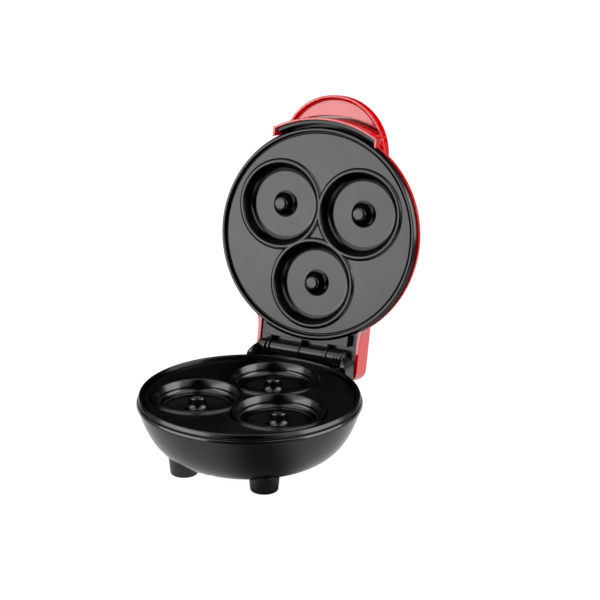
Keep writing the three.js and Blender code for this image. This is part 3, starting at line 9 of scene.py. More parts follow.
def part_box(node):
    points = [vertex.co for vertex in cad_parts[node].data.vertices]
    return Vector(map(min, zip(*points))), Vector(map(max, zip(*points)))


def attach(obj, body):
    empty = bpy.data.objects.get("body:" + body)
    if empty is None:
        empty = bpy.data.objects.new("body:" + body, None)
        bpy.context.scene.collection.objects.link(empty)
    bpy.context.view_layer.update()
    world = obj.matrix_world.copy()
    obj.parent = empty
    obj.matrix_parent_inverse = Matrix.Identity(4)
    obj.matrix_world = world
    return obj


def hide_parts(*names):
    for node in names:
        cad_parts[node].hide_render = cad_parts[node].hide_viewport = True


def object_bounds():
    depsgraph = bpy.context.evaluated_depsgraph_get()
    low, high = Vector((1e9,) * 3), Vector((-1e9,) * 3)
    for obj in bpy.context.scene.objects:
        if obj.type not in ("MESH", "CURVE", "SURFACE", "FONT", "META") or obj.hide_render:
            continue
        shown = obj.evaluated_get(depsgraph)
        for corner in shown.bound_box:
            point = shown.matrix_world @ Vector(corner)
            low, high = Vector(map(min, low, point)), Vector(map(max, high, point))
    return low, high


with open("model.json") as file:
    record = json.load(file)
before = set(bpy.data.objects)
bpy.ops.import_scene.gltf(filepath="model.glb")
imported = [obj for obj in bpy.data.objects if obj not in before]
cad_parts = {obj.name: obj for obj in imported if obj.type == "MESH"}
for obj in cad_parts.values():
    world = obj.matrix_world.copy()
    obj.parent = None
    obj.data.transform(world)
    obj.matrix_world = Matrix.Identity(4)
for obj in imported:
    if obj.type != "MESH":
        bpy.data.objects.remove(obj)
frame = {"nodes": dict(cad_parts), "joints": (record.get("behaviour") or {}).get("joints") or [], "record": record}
cad_low, cad_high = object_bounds()

# The bench frame: millimetres, with the base's axis at x = y = 0 and the lid closed
MM = 0.001
base_low, base_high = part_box("base_housing")
HINGE = frame["joints"][0]
OPEN_ANGLE = math.radians(HINGE["range_deg"][1])
AXIS_Y = (base_low.y + base_high.y) / 2
TO_BASE = Matrix.Translation((0, AXIS_Y, 0)) @ Matrix.Scale(MM, 4)
pivot = Vector(HINGE["pos_m"])
TO_LID = (
    Matrix.Translation(pivot)
    @ Matrix.Rotation(-OPEN_ANGLE, 4, "X")
    @ Matrix.Translation(-pivot)
    @ TO_BASE
)
PIVOT_Y = (pivot.y - AXIS_Y) / MM
PIVOT_Z = pivot.z / MM

# Facets round a full circle, by how large the circle shows
ROUND = 240
MIDDLE = 128
SMALL = 56

# Steps along an arc, by what it rounds
EASE_STEPS = 5
VENT_STEPS = 8
CROWN_STEPS = 10
FOOT_STEPS = 12
FILLET_STEPS = 12
CAVITY_STEPS = 14
TAIL_STEPS = 16
SHOULDER_STEPS = 20
RIB_STEPS = 32
BOWL_STEPS = 40
DOME_STEPS = 48
SEARCH_STEPS = 200

# Mesh cleaning: millimetres, and the angle in degrees over which an edge stays sharp
WELD_DISTANCE = 0.002
SLIVER = 0.001
SHARP_ANGLE = 32.0
PLATE_SHARP_ANGLE = 28.0

# Clearances and the overrun of every cut. The sizes from here to the outlines are in bench
# millimetres and the angles in degrees. An EASE is the length over which a corner is rounded
# on both of its sides.
SEAT_GAP = 0.3
PLATE_GAP = 0.5
OVERRUN = 1.0
SCREW_HOLE = 1.8

# Heights
MATE = 46.6
CREST = MATE - PLATE_GAP / 2
UPPER_CREST = MATE + PLATE_GAP / 2

# Base housing
RIM_RADIUS = 70.0
RIM_SHELF_RADIUS = 69.4
RIM_SHELF_DROP = 3.5
RIM_BULGE_DROP = 5.1
RIM_CREASE_DROP = 6.3
RIM_SEAT_RADIUS = 67.3
RIM_CREASE_EASE = 0.35
RIM_BULGE_EASE = 0.5
RIM_SHELF_EASE = 0.4
BOWL_TOP_RADIUS = 69.3
BOWL_FLAT_RADIUS = 39.96
BOWL_BOTTOM = 7.7
HOUSING_WALL = 2.6
BOWL_WALL_SHARE = 0.875
BOWL_HEIGHT_SHARE = 0.59
BOWL_TURN_SHARE = 0.62
GLAND_HEIGHT = 19.5
GLAND_HOLE = 5.1
GLAND_HOLE_START = 40.0

# Bottom cover and its screws
COVER_RADIUS = 34.96
COVER_THICKNESS = 2.0
COVER_EASE = 0.4
COVER_SEAT = 4.0
COVER_SCREW_CIRCLE = 32.56
LEDGE_INNER = 31.0
LEDGE_OUTER = 39.0
LEDGE_HEIGHT = 2.6
VENT_COUNT = 6
VENT_START = 30
VENT_WIDTH = 2.4
VENT_INNER = 12.0
VENT_OUTER = 24.96

# Feet
FEET = {
    "front_left": (-27.6, -34.6),
    "front_right": (27.6, -34.6),
    "rear_left": (-22.0, 54.0),
    "rear_right": (22.0, 54.0),
}
FOOT_BOTTOM_RADIUS = 8.5
FOOT_TOP_RADIUS = 10.1
FOOT_HEIGHT = 16.5
FOOT_LIFT = 0.4
FOOT_EASE = 1.2
FOOT_PEG_HOLE = 3.3
FOOT_PEG_RISE = 4.0
PAD_RADIUS = 6.2
PAD_THICKNESS = 2.4
PAD_EASE = 0.4

# Cooking plate, measured down from the crest of its bead
FLANGE_RADIUS = 69.1
FLANGE_DEPTH = 3.2
CHAMFER_DEPTH = 2.3
BEAD_OUTER = 68.1
BEAD_INNER = 66.5
GROOVE_OUTER = 65.9
GROOVE_INNER = 65.3
GROOVE_DEPTH = 3.3
FACE_RADIUS = 64.9
FACE_DEPTH = 2.2
PLATE_THICKNESS = 3.0
PLATE_STEP = 66.9
CAVITY_CIRCLE = 32.3
RING_DEPTH = 0.9
RING_FOOT = 29.9
RING_OUTER = 28.7
RING_INNER = 27.0
CAVITY_MOUTH = 26.3
CAVITY_WALL = 25.1
CAVITY_FILLET = 4.4
CAVITY_DEPTH = 9.2
POST_FOOT = 8.4
POST_BASE = 6.6
POST_BASE_DEPTH = 8.0
POST_WAIST = 5.6
POST_WAIST_DEPTH = 6.2
POST_TIP = 4.8
POST_TOP = 3.7
POST_TOP_DEPTH = 1.1
POST_SHOULDER = 0.9
CUP_RADIUS = 27.3
CUP_CORNER = 3.4
CUP_WALL = 2.2
RING_SKIM = 0.01
RING_CUT_INSET = 0.2
FLANGE_EASE = 0.25
CHAMFER_EASE = 0.35
BEAD_EASE = 0.5
GROOVE_EASE = 0.25
FACE_EASE = 0.3
CUP_EASE = 0.5
RING_OUTER_EASE = 0.6
RING_INNER_EASE = 0.5
MOUTH_EASE = 0.9
POST_TOP_EASE = 0.8
POST_TIP_EASE = 0.7
POST_WAIST_EASE = 1.2
POST_BASE_EASE = 0.8
POST_FOOT_EASE = 0.7

# Screws of the plates
BOSS_CIRCLE = 50.0
BOSS_ANGLES = (30, 150, 270)
WELL_RADIUS = 3.4
WELL_TOP = 28.05
WELL_WALL = 2.0
WELL_CAP = 3.0

# Hinge
PIN_RADIUS = 1.6
PIN_HOLE = (-33.0, 28.0)
LID_BARREL = 4.3
LID_BARREL_EASE = 0.3
BASE_BARREL = 4.6
BASE_BARREL_EASE = 0.4
RIB_RADIUS = 5.3
RIB_ARC = (200, 350)
EAR_INNER = 31.7
LEFT_EAR_BARREL = (-32.1, -26.9)
RIGHT_EAR_BARREL = (17.65, 27.65)
LID_BARRELS = ((-23.25, -3.25), (-1.75, 15.45))
LID_RIBS = ((-25.35, -23.95), (-2.95, -2.05), (15.85, 17.25))
RIDGES = (23.25, 25.45)
RIDGE_WIDTH = 0.7
RIDGE_DEPTH = 0.35
BRACKET_HALF_WIDTH = 35.8
BRACKET_SHOULDER = 8.6
BRACKET_SHOULDER_STRETCH = 1.2
BRACKET_FRONT = 64.0
BRACKET_BACK = 76.6
BRACKET_BOTTOM = 27.5
BRACKET_SLOPE = 8.0
BRACKET_TOP = MATE + 5.7
BRACKET_EASE = 2.0
BRACKET_BACK_EASE = 1.5
BRACKET_CROWN_EASE = 2.5
RELIEF_DEPTH = 6.2
STOP_HALF_WIDTH = 16.0
STOP_HEIGHT = 5.0
LEAF_HALF_WIDTH = 34.1
LEAF_BACK = 89.4
LEAF_RISE = 6.2
LEAF_THICKNESS = 2.4
PANEL_HALF_WIDTH = 29.8
PANEL_FRONT = 58.0
PANEL_BACK = 70.0
PANEL_RISE = 0.9

# Lid shell
SHELL_RADIUS = 69.9
SHELL_EDGE = MATE + 4.95
SHELL_WALL = 2.2
DOME_TOP = MATE + 31.0
DOME_WALL_SHARE = 1.003
DOME_HEIGHT_SHARE = 0.46
DOME_TURN_SHARE = 0.75
LIP_BOTTOM = MATE - 2.1
LIP_RADIUS = 75.1
LIP_TOP_RADIUS = 75.0
LIP_WALL = 1.4
LIP_ROOF = MATE + 17.0
LIP_HALF_WIDTH = 36.8
LIP_CHEEK_TAPER = 3.6
HANDLE_CENTRE = 52.0
HANDLE_REACH = 38.0
HANDLE_HALF_WIDTH = 37.0
HANDLE_EDGE = MATE + 12.6
HANDLE_TOP = MATE + 23.8
HANDLE_ROUND = 4.2
HANDLE_EASE = 0.5
HANDLE_WALL = 1.5
HANDLE_WEB_FACE = HANDLE_EDGE + 3.4
HANDLE_WEB = 2.2
HANDLE_SLOT = 1.7
TAIL_HALF_WIDTH = 36.7
TAIL_END = 93.4
TAIL_START = 30.0
TAIL_TOP = MATE + 20.6
TAIL_CORNER = 7.0
TAIL_ROUND = 8.0
TAIL_FLARE = 3.0
TAIL_FLARE_REACH = 9.0

# Carrier and lining
CARRIER_RING = 1.7
CARRIER_RING_TOP = MATE + 9.6
CARRIER_BOTTOM = UPPER_CREST + FACE_DEPTH + PLATE_THICKNESS + SEAT_GAP
SHELF_BOTTOM = UPPER_CREST + 15.0 + SEAT_GAP
SHELF_RADIUS = 55.0
SHELF_INNER = 46.4
SHELF_THICKNESS = 2.2
LINING_WALL = 2.0
LINING_BOTTOM = MATE + 0.2
LAMP_FRONT = 28.0
LENS_RADIUS = 3.4


# Outlines

def arc(centre, radii, start, end, steps):
    """Points on an ellipse's arc, from start to end degrees."""
    points = []
    for i in range(steps + 1):
        angle = math.radians(start + (end - start) * i / steps)
        points.append((
            centre[0] + radii[0] * math.cos(angle),
            centre[1] + radii[1] * math.sin(angle),
        ))
    return points


def bend(start, corner, end, steps):
    """Points on the curve that leaves start and reaches end along the lines to the corner."""
    points = []
    for k in range(steps + 1):
        t = k / steps
        points.append(tuple(start * (1 - t) ** 2 + corner * 2 * t * (1 - t) + end * t ** 2))
    return points


def eased(outline):
    """An outline whose corners with a third value are rounded over that length on both sides."""
    points = []
    count = len(outline)
    for i, corner in enumerate(outline):
        here = Vector(corner[:2])
        if len(corner) == 2:
            points.append(tuple(here))
            continue
        before = Vector(outline[(i - 1) % count][:2])
        after = Vector(outline[(i + 1) % count][:2])
        start = here + (before - here).normalized() * corner[2]
        end = here + (after - here).normalized() * corner[2]
        points += bend(start, here, end, EASE_STEPS)
    return points


def cubic(controls, steps, inset=0.0):
    """Points along a cubic curve, moved inwards by inset."""
    a, b, c, d = (Vector(point) for point in controls)
    points = []
    for i in range(steps + 1):
        t = i / steps
        place = a * (1 - t) ** 3 + b * 3 * t * (1 - t) ** 2 + c * 3 * t * t * (1 - t) + d * t ** 3
        slope = (b - a) * 3 * (1 - t) ** 2 + (c - b) * 6 * t * (1 - t) + (d - c) * 3 * t * t
        slope.normalize()
        points.append((place.x - slope.y * inset, place.y + slope.x * inset))
    return points


def polar(radius, degrees):
    angle = math.radians(degrees)
    return radius * math.cos(angle), radius * math.sin(angle)


def thirds(radius):
    """Three points spread evenly on a circle, the first at the back."""
    return [polar(radius, 90 + 120 * k) for k in range(3)]


# Solids, in bench millimetres

def as_object(mesh_data, name="solid"):
    mesh = bpy.data.meshes.new(name)
    mesh_data.to_mesh(mesh)
    mesh_data.free()
    piece = bpy.data.objects.new(name, mesh)
    bpy.context.scene.collection.objects.link(piece)
    return piece


def lathe(outline, sides=ROUND, squeeze=1.0, at=(0, 0)):
    """A solid of revolution, from an outline that starts and ends on the axis or closes on itself."""
    data = bmesh.new()
    closed = outline[0][0] > 0
    rings = []
    for radius, height in outline:
        if radius <= 0:
            rings.append([data.verts.new((at[0], at[1], height))])
            continue
        ring = []
        for k in range(sides):
            angle = 2 * math.pi * k / sides
            ring.append(data.verts.new((
                at[0] + radius * math.cos(angle) * squeeze,
                at[1] + radius * math.sin(angle),
                height,
            )))
        rings.append(ring)
    pairs = list(zip(rings, rings[1:]))
    if closed:
        pairs.append((rings[-1], rings[0]))
    for low, high in pairs:
        for k in range(sides):
            after = (k + 1) % sides
            if len(low) == 1 and len(high) == 1:
                break
            if len(low) == 1:
                data.faces.new((low[0], high[after], high[k]))
            elif len(high) == 1:
                data.faces.new((low[k], low[after], high[0]))
            else:
                data.faces.new((low[k], low[after], high[after], high[k]))
    bmesh.ops.recalc_face_normals(data, faces=data.faces)
    return as_object(data)


def disc(radius, bottom, top, sides=SMALL, at=(0, 0)):
    return lathe([(0, bottom), (radius, bottom), (radius, top), (0, top)], sides, at=at)


def prism(outline, start, end, axis):
    """An outline pushed along an axis; for X it is in (y, z), for Y in (x, z) and for Z in (x, y)."""
    data = bmesh.new()

    def corner(point, depth):
        u, v = point
        return {"X": (depth, u, v), "Y": (u, depth, v), "Z": (u, v, depth)}[axis]

    first = [data.verts.new(corner(point, start)) for point in outline]
    last = [data.verts.new(corner(point, end)) for point in outline]
    data.faces.new(first)
    data.faces.new(list(reversed(last)))
    for k in range(len(outline)):
        after = (k + 1) % len(outline)
        data.faces.new((first[k], first[after], last[after], last[k]))
    bmesh.ops.recalc_face_normals(data, faces=data.faces)
    return as_object(data)


def block(x0, x1, y0, y1, z0, z1):
    return prism([(x0, y0), (x1, y0), (x1, y1), (x0, y1)], z0, z1, "Z")


def rod(radius, start, end, axis, at, ease=0.0):
    """A round rod along X or Y, with its rims eased where a length is given."""
    if ease:
        piece = lathe(eased([(0, start), (radius, start, ease), (radius, end, ease), (0, end)]), SMALL)
    else:
        piece = disc(radius, start, end)
    if axis == "X":
        turn = Matrix.Rotation(math.pi / 2, 4, "Y")
        shift = Matrix.Translation((0, at[0], at[1]))
    else:
        turn = Matrix.Rotation(-math.pi / 2, 4, "X")
        shift = Matrix.Translation((at[0], 0, at[1]))
    piece.data.transform(shift @ turn)
    return piece


def combine(target, other, operation):
    """Joins, cuts or keeps the overlap of two solids; the second one is used up."""
    step = target.modifiers.new(operation, "BOOLEAN")
    step.operation = operation
    step.object = other
    step.solver = "MANIFOLD"
    graph = bpy.context.evaluated_depsgraph_get()
    shaped = bpy.data.meshes.new_from_object(target.evaluated_get(graph))
    target.modifiers.clear()
    used = target.data
    target.data = shaped
    bpy.data.meshes.remove(used)
    spare = other.data
    bpy.data.objects.remove(other)
    bpy.data.meshes.remove(spare)
    return target


def join(pieces):
    whole = pieces[0]
    for piece in pieces[1:]:
        combine(whole, piece, "UNION")
    return whole


def cut(target, *cutters):
    for cutter in cutters:
        combine(target, cutter, "DIFFERENCE")
    return target


def shared(target, other):
    return combine(target, other, "INTERSECT")


def finished(piece, name, body, nodes, material, sharp=SHARP_ANGLE):
    data = bmesh.new()
    data.from_mesh(piece.data)
    bmesh.ops.remove_doubles(data, verts=data.verts, dist=WELD_DISTANCE)
    bmesh.ops.dissolve_degenerate(data, edges=data.edges, dist=SLIVER)
    data.to_mesh(piece.data)
    data.free()
    piece.data.transform(TO_LID if body == "lid" else TO_BASE)
    piece.name = name
    piece.data.name = name
    piece.data.shade_smooth()
    piece.data.set_sharp_from_angle(angle=math.radians(sharp))
    weighted = piece.modifiers.new("normals", "WEIGHTED_NORMAL")
    weighted.keep_sharp = True
    weighted.weight = 100
    piece.data.materials.clear()
    piece.data.materials.append(material)
    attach(piece, body)
    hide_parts(*nodes)
    return piece


# Materials
CLOUD_SCALE = 60.0
CLOUD_DETAIL = 3.0
GRAIN_DETAIL = 2.0
BEVEL_SAMPLES = 6


def linear(red, green, blue):
    """A colour from its 0 to 255 display values."""
    def channel(value):
        share = value / 255
        return share / 12.92 if share <= 0.04045 else ((share + 0.055) / 1.055) ** 2.4

    return channel(red), channel(green), channel(blue), 1.0


def coat(name, colour, shade, *, roughness, spread, grain, relief, edge=0.0, metal=0.0, specular=0.5,
         glance=1.0):
    """A moulded or coated surface: slow colour change, uneven gloss, a fine grain and softened edges.

    The colours are display values, relief and edge are metres, and glance is the share of its gloss
    that a metal keeps at low angles.
    """
    material = bpy.data.materials.new(name)
    material.use_nodes = True
    nodes, links = material.node_tree.nodes, material.node_tree.links
    shader = nodes["Principled BSDF"]
    shader.inputs["Metallic"].default_value = metal
    shader.inputs["Specular IOR Level"].default_value = specular
    shader.inputs["Specular Tint"].default_value = (glance, glance, glance, 1)
    place = nodes.new("ShaderNodeTexCoord")

    cloud = nodes.new("ShaderNodeTexNoise")
    cloud.inputs["Scale"].default_value = CLOUD_SCALE
    cloud.inputs["Detail"].default_value = CLOUD_DETAIL
    links.new(place.outputs["Object"], cloud.inputs["Vector"])
    tint = nodes.new("ShaderNodeMix")
    tint.data_type = "RGBA"
    tint.inputs["A"].default_value = linear(*colour)
    tint.inputs["B"].default_value = linear(*shade)
    links.new(cloud.outputs["Fac"], tint.inputs["Factor"])
    links.new(tint.outputs["Result"], shader.inputs["Base Color"])

    gloss = nodes.new("ShaderNodeMapRange")
    gloss.inputs["To Min"].default_value = roughness - spread
    gloss.inputs["To Max"].default_value = roughness + spread
    links.new(cloud.outputs["Fac"], gloss.inputs["Value"])
    links.new(gloss.outputs["Result"], shader.inputs["Roughness"])

    speckle = nodes.new("ShaderNodeTexNoise")
    speckle.inputs["Scale"].default_value = grain
    speckle.inputs["Detail"].default_value = GRAIN_DETAIL
    links.new(place.outputs["Object"], speckle.inputs["Vector"])
    bump = nodes.new("ShaderNodeBump")
    bump.inputs["Strength"].default_value = 1.0
    bump.inputs["Distance"].default_value = relief
    links.new(speckle.outputs["Fac"], bump.inputs["Height"])
    if edge > 0:
        soft = nodes.new("ShaderNodeBevel")
        soft.samples = BEVEL_SAMPLES
        soft.inputs["Radius"].default_value = edge
        links.new(soft.outputs["Normal"], bump.inputs["Normal"])
    links.new(bump.outputs["Normal"], shader.inputs["Normal"])
    return material


RED_GLOSS = coat("red gloss", (208, 4, 14), (200, 2, 11), specular=0.85,
                 roughness=0.1, spread=0.02, grain=900, relief=3e-6, edge=6e-4)
BLACK_GLOSS = coat("black gloss", (9, 9, 10), (7, 7, 8),
                   roughness=0.16, spread=0.02, grain=1400, relief=6e-6, edge=6e-4)
BLACK_HINGE = coat("black hinge", (9, 9, 10), (7, 7, 8),
                   roughness=0.24, spread=0.04, grain=1600, relief=6e-6, edge=5e-4)
BLACK_SATIN = coat("black satin", (15, 15, 16), (12, 12, 13),
                   roughness=0.34, spread=0.05, grain=2200, relief=1e-5, edge=5e-4)
NON_STICK = coat("non-stick coating", (57, 57, 57), (54, 54, 54), metal=1.0, glance=0.7,
                 roughness=0.2, spread=0.02, grain=1700, relief=1e-5, edge=3e-4)
RUBBER = coat("rubber", (32, 32, 33), (25, 25, 26),
              roughness=0.7, spread=0.08, grain=1200, relief=3e-5, edge=3e-4)
PAINTED = coat("painted steel", (30, 30, 31), (24, 24, 25),
               roughness=0.4, spread=0.05, grain=1800, relief=2e-5, edge=3e-4)
STEEL = coat("zinc plated steel", (190, 190, 188), (160, 161, 162), metal=1.0,
             roughness=0.3, spread=0.08, grain=700, relief=1e-5, edge=2e-4)
SHEATH = coat("element sheath", (150, 147, 141), (118, 114, 108), metal=1.0,
              roughness=0.45, spread=0.08, grain=500, relief=2e-5)
PAN = coat("bright aluminium", (214, 215, 218), (198, 199, 203), metal=1.0,
           roughness=0.28, spread=0.06, grain=400, relief=1e-5)
CERAMIC = coat("white ceramic", (232, 226, 212), (220, 213, 197),
               roughness=0.5, spread=0.05, grain=900, relief=2e-5, edge=3e-4)
AMBER = coat("amber lens", (225, 120, 26), (210, 100, 18),
             roughness=0.12, spread=0.02, grain=300, relief=4e-6, edge=3e-4)
GLASS = coat("lamp glass", (226, 226, 220), (215, 215, 208),
             roughness=0.1, spread=0.02, grain=200, relief=2e-6)


# Base housing and what hangs on it

def bowl_line(inset=0.0, steps=BOWL_STEPS):
    """The bowl's wall, from its flat bottom up to the crease under the rim."""
    width = BOWL_TOP_RADIUS - BOWL_FLAT_RADIUS
    top = CREST - RIM_CREASE_DROP
    rise = top - BOWL_BOTTOM
    return cubic((
        (BOWL_FLAT_RADIUS, BOWL_BOTTOM),
        (BOWL_FLAT_RADIUS + width * BOWL_TURN_SHARE, BOWL_BOTTOM),
        (BOWL_FLAT_RADIUS + width * BOWL_WALL_SHARE, BOWL_BOTTOM + rise * BOWL_HEIGHT_SHARE),
        (BOWL_TOP_RADIUS, top),
    ), steps, inset)


def bowl_solid(growth):
    """The space inside the bowl's outer wall, grown or shrunk by a clearance."""
    skin = bowl_line(-growth)
    edge = RIM_RADIUS + growth
    crease = CREST - RIM_CREASE_DROP + growth / 2
    return lathe([(0, skin[0][1]), *skin, (edge, crease), (edge, CREST), (0, CREST)])


def wall_height(reach):
    """How high the bowl's outer wall is at a distance from its axis."""
    for radius, height in bowl_line(steps=SEARCH_STEPS):
        if radius >= reach:
            return height
    return CREST


def make_housing():
    floor = BOWL_BOTTOM + HOUSING_WALL
    outline = [
        (0, BOWL_BOTTOM),
        *bowl_line(),
        *eased([
            (RIM_RADIUS, CREST - RIM_CREASE_DROP, RIM_CREASE_EASE),
            (RIM_RADIUS, CREST - RIM_BULGE_DROP, RIM_BULGE_EASE),
            (RIM_SHELF_RADIUS, CREST - RIM_SHELF_DROP, RIM_SHELF_EASE),
            (RIM_SEAT_RADIUS, CREST - RIM_SHELF_DROP),
        ])[1:-1],
        (RIM_SEAT_RADIUS, CREST - RIM_SHELF_DROP),
        (RIM_SEAT_RADIUS, CREST - RIM_CREASE_DROP),
        *reversed(bowl_line(HOUSING_WALL)),
        (0, floor),
    ]
    shell = lathe(outline)
    cut(shell, disc(COVER_RADIUS + SEAT_GAP, 0, floor - SEAT_GAP, MIDDLE))
    cut(shell, disc(COVER_RADIUS - COVER_SEAT, 0, floor + OVERRUN, MIDDLE))
    ledge_bottom, ledge_top = floor - SEAT_GAP, floor + LEDGE_HEIGHT
    ledge = lathe([
        (LEDGE_INNER, ledge_bottom), (LEDGE_OUTER, ledge_bottom),
        (LEDGE_OUTER, ledge_top), (LEDGE_INNER, ledge_top),
    ], MIDDLE)
    join([shell, ledge])
    for angle in BOSS_ANGLES:
        spot = polar(BOSS_CIRCLE, angle)
        post_top = WELL_TOP + WELL_CAP
        post = disc(WELL_RADIUS + WELL_WALL, BOWL_BOTTOM, post_top, at=spot)
        join([shell, shared(post, bowl_solid(-SEAT_GAP))])
        cut(shell, disc(WELL_RADIUS, 0, WELL_TOP, at=spot), disc(SCREW_HOLE, 0, post_top + OVERRUN, at=spot))
    for spot in thirds(COVER_SCREW_CIRCLE):
        cut(shell, disc(SCREW_HOLE, 0, ledge_top + OVERRUN, at=spot))
    for x, y in FEET.values():
        cut(shell, disc(FOOT_PEG_HOLE, 0, wall_height(math.hypot(x, y)) + FOOT_PEG_RISE, at=(x, y)))
    cut(shell, rod(GLAND_HOLE, GLAND_HOLE_START, TAIL_END, "Y", (0, GLAND_HEIGHT)))
    finished(shell, "housing", "base", ["base_housing"], BLACK_GLOSS)


def make_cover():
    top = BOWL_BOTTOM + HOUSING_WALL - SEAT_GAP * 2
    cover = lathe(eased([
        (0, top - COVER_THICKNESS),
        (COVER_RADIUS, top - COVER_THICKNESS, COVER_EASE),
        (COVER_RADIUS, top),
        (0, top),
    ]), MIDDLE)
    half = VENT_WIDTH / 2
    slot_line = [
        *arc((VENT_OUTER - half, 0), (half, half), -90, 90, VENT_STEPS),
        *arc((VENT_INNER + half, 0), (half, half), 90, 270, VENT_STEPS),
    ]
    for k in range(VENT_COUNT):
        slot = prism(slot_line, 0, top + OVERRUN, "Z")
        slot.data.transform(Matrix.Rotation(math.radians(VENT_START + 360 * k / VENT_COUNT), 4, "Z"))
        cut(cover, slot)
    for spot in thirds(COVER_SCREW_CIRCLE):
        cut(cover, disc(SCREW_HOLE, 0, top + OVERRUN, at=spot))
    finished(cover, "cover", "base", ["bottom_cover"], PAINTED)


def make_feet():
    foot_line = [
        *eased([
            (0, FOOT_LIFT),
            (FOOT_BOTTOM_RADIUS, FOOT_LIFT, FOOT_EASE),
            (FOOT_TOP_RADIUS, FOOT_HEIGHT),
        ]),
        *arc((0, FOOT_HEIGHT), (FOOT_TOP_RADIUS, FOOT_TOP_RADIUS), 0, 90, FOOT_STEPS)[1:-1],
        (0, FOOT_HEIGHT + FOOT_TOP_RADIUS),
    ]
    pad_line = eased([(0, 0), (PAD_RADIUS, 0, PAD_EASE), (PAD_RADIUS, PAD_THICKNESS), (0, PAD_THICKNESS)])
    for name, spot in FEET.items():
        foot = lathe(foot_line, MIDDLE, at=spot)
        cut(foot, bowl_solid(SEAT_GAP))
        cut(foot, disc(PAD_RADIUS + SEAT_GAP, 0, PAD_THICKNESS + SEAT_GAP, at=spot))
        finished(foot, f"foot_moulding_{name}", "base", [f"foot_{name}"], BLACK_SATIN)
        pad = lathe(pad_line, SMALL, at=spot)
        finished(pad, f"foot_rubber_{name}", "base", [f"foot_pad_{name}"], RUBBER)


# Cooking plates

def make_plate(name, node, body):
    under = FACE_DEPTH + PLATE_THICKNESS
    plate = lathe(eased([
        (0, -under),
        (PLATE_STEP, -under),
        (PLATE_STEP, -FLANGE_DEPTH),
        (FLANGE_RADIUS, -FLANGE_DEPTH, FLANGE_EASE),
        (FLANGE_RADIUS, -CHAMFER_DEPTH, CHAMFER_EASE),
        (BEAD_OUTER, 0, BEAD_EASE),
        (BEAD_INNER, 0, BEAD_EASE),
        (GROOVE_OUTER, -GROOVE_DEPTH, GROOVE_EASE),
        (GROOVE_INNER, -GROOVE_DEPTH, GROOVE_EASE),
        (FACE_RADIUS, -FACE_DEPTH, FACE_EASE),
        (0, -FACE_DEPTH),
    ]))
    depth = CAVITY_DEPTH + CUP_WALL
    cup_line = eased([
        (0, -depth),
        (CUP_RADIUS, -depth, CUP_CORNER),
        (CUP_RADIUS, -under + OVERRUN, CUP_EASE),
        (RING_FOOT, -under + OVERRUN),
        (RING_FOOT, -FACE_DEPTH),
        (RING_OUTER, -RING_DEPTH, RING_OUTER_EASE),
        (0, -RING_DEPTH),
    ])
    turn_centre = (CAVITY_WALL - CAVITY_FILLET, CAVITY_FILLET - CAVITY_DEPTH)
    ring_cut = RING_OUTER - RING_CUT_INSET
    # The hollow's flat lies a skim above the rings' tops and ends short of their edge, so that
    # no faces coincide
    hollow_line = eased([
        (0, -POST_TOP_DEPTH),
        (POST_TOP, -POST_TOP_DEPTH, POST_TOP_EASE),
        (POST_TIP, -POST_TOP_DEPTH - POST_SHOULDER, POST_TIP_EASE),
        (POST_WAIST, -POST_WAIST_DEPTH, POST_WAIST_EASE),
        (POST_BASE, -POST_BASE_DEPTH, POST_BASE_EASE),
        (POST_FOOT, -CAVITY_DEPTH, POST_FOOT_EASE),
        *arc(turn_centre, (CAVITY_FILLET, CAVITY_FILLET), -90, 0, CAVITY_STEPS),
        (CAVITY_MOUTH, -FACE_DEPTH, MOUTH_EASE),
        (RING_INNER, -RING_DEPTH + RING_SKIM, RING_INNER_EASE),
        (ring_cut, -RING_DEPTH + RING_SKIM),
        (ring_cut, OVERRUN),
        (0, OVERRUN),
    ])
    for spot in thirds(CAVITY_CIRCLE):
        join([plate, lathe(cup_line, MIDDLE, at=spot)])
    for spot in thirds(CAVITY_CIRCLE):
        cut(plate, lathe(hollow_line, MIDDLE, at=spot))
    if body == "lid":
        place = Matrix.Translation((0, 0, UPPER_CREST)) @ Matrix.Rotation(math.pi, 4, "Y")
    else:
        place = Matrix.Translation((0, 0, CREST))
    plate.data.transform(place)
    finished(plate, name, body, [node], NON_STICK, PLATE_SHARP_ANGLE)


# Hinge

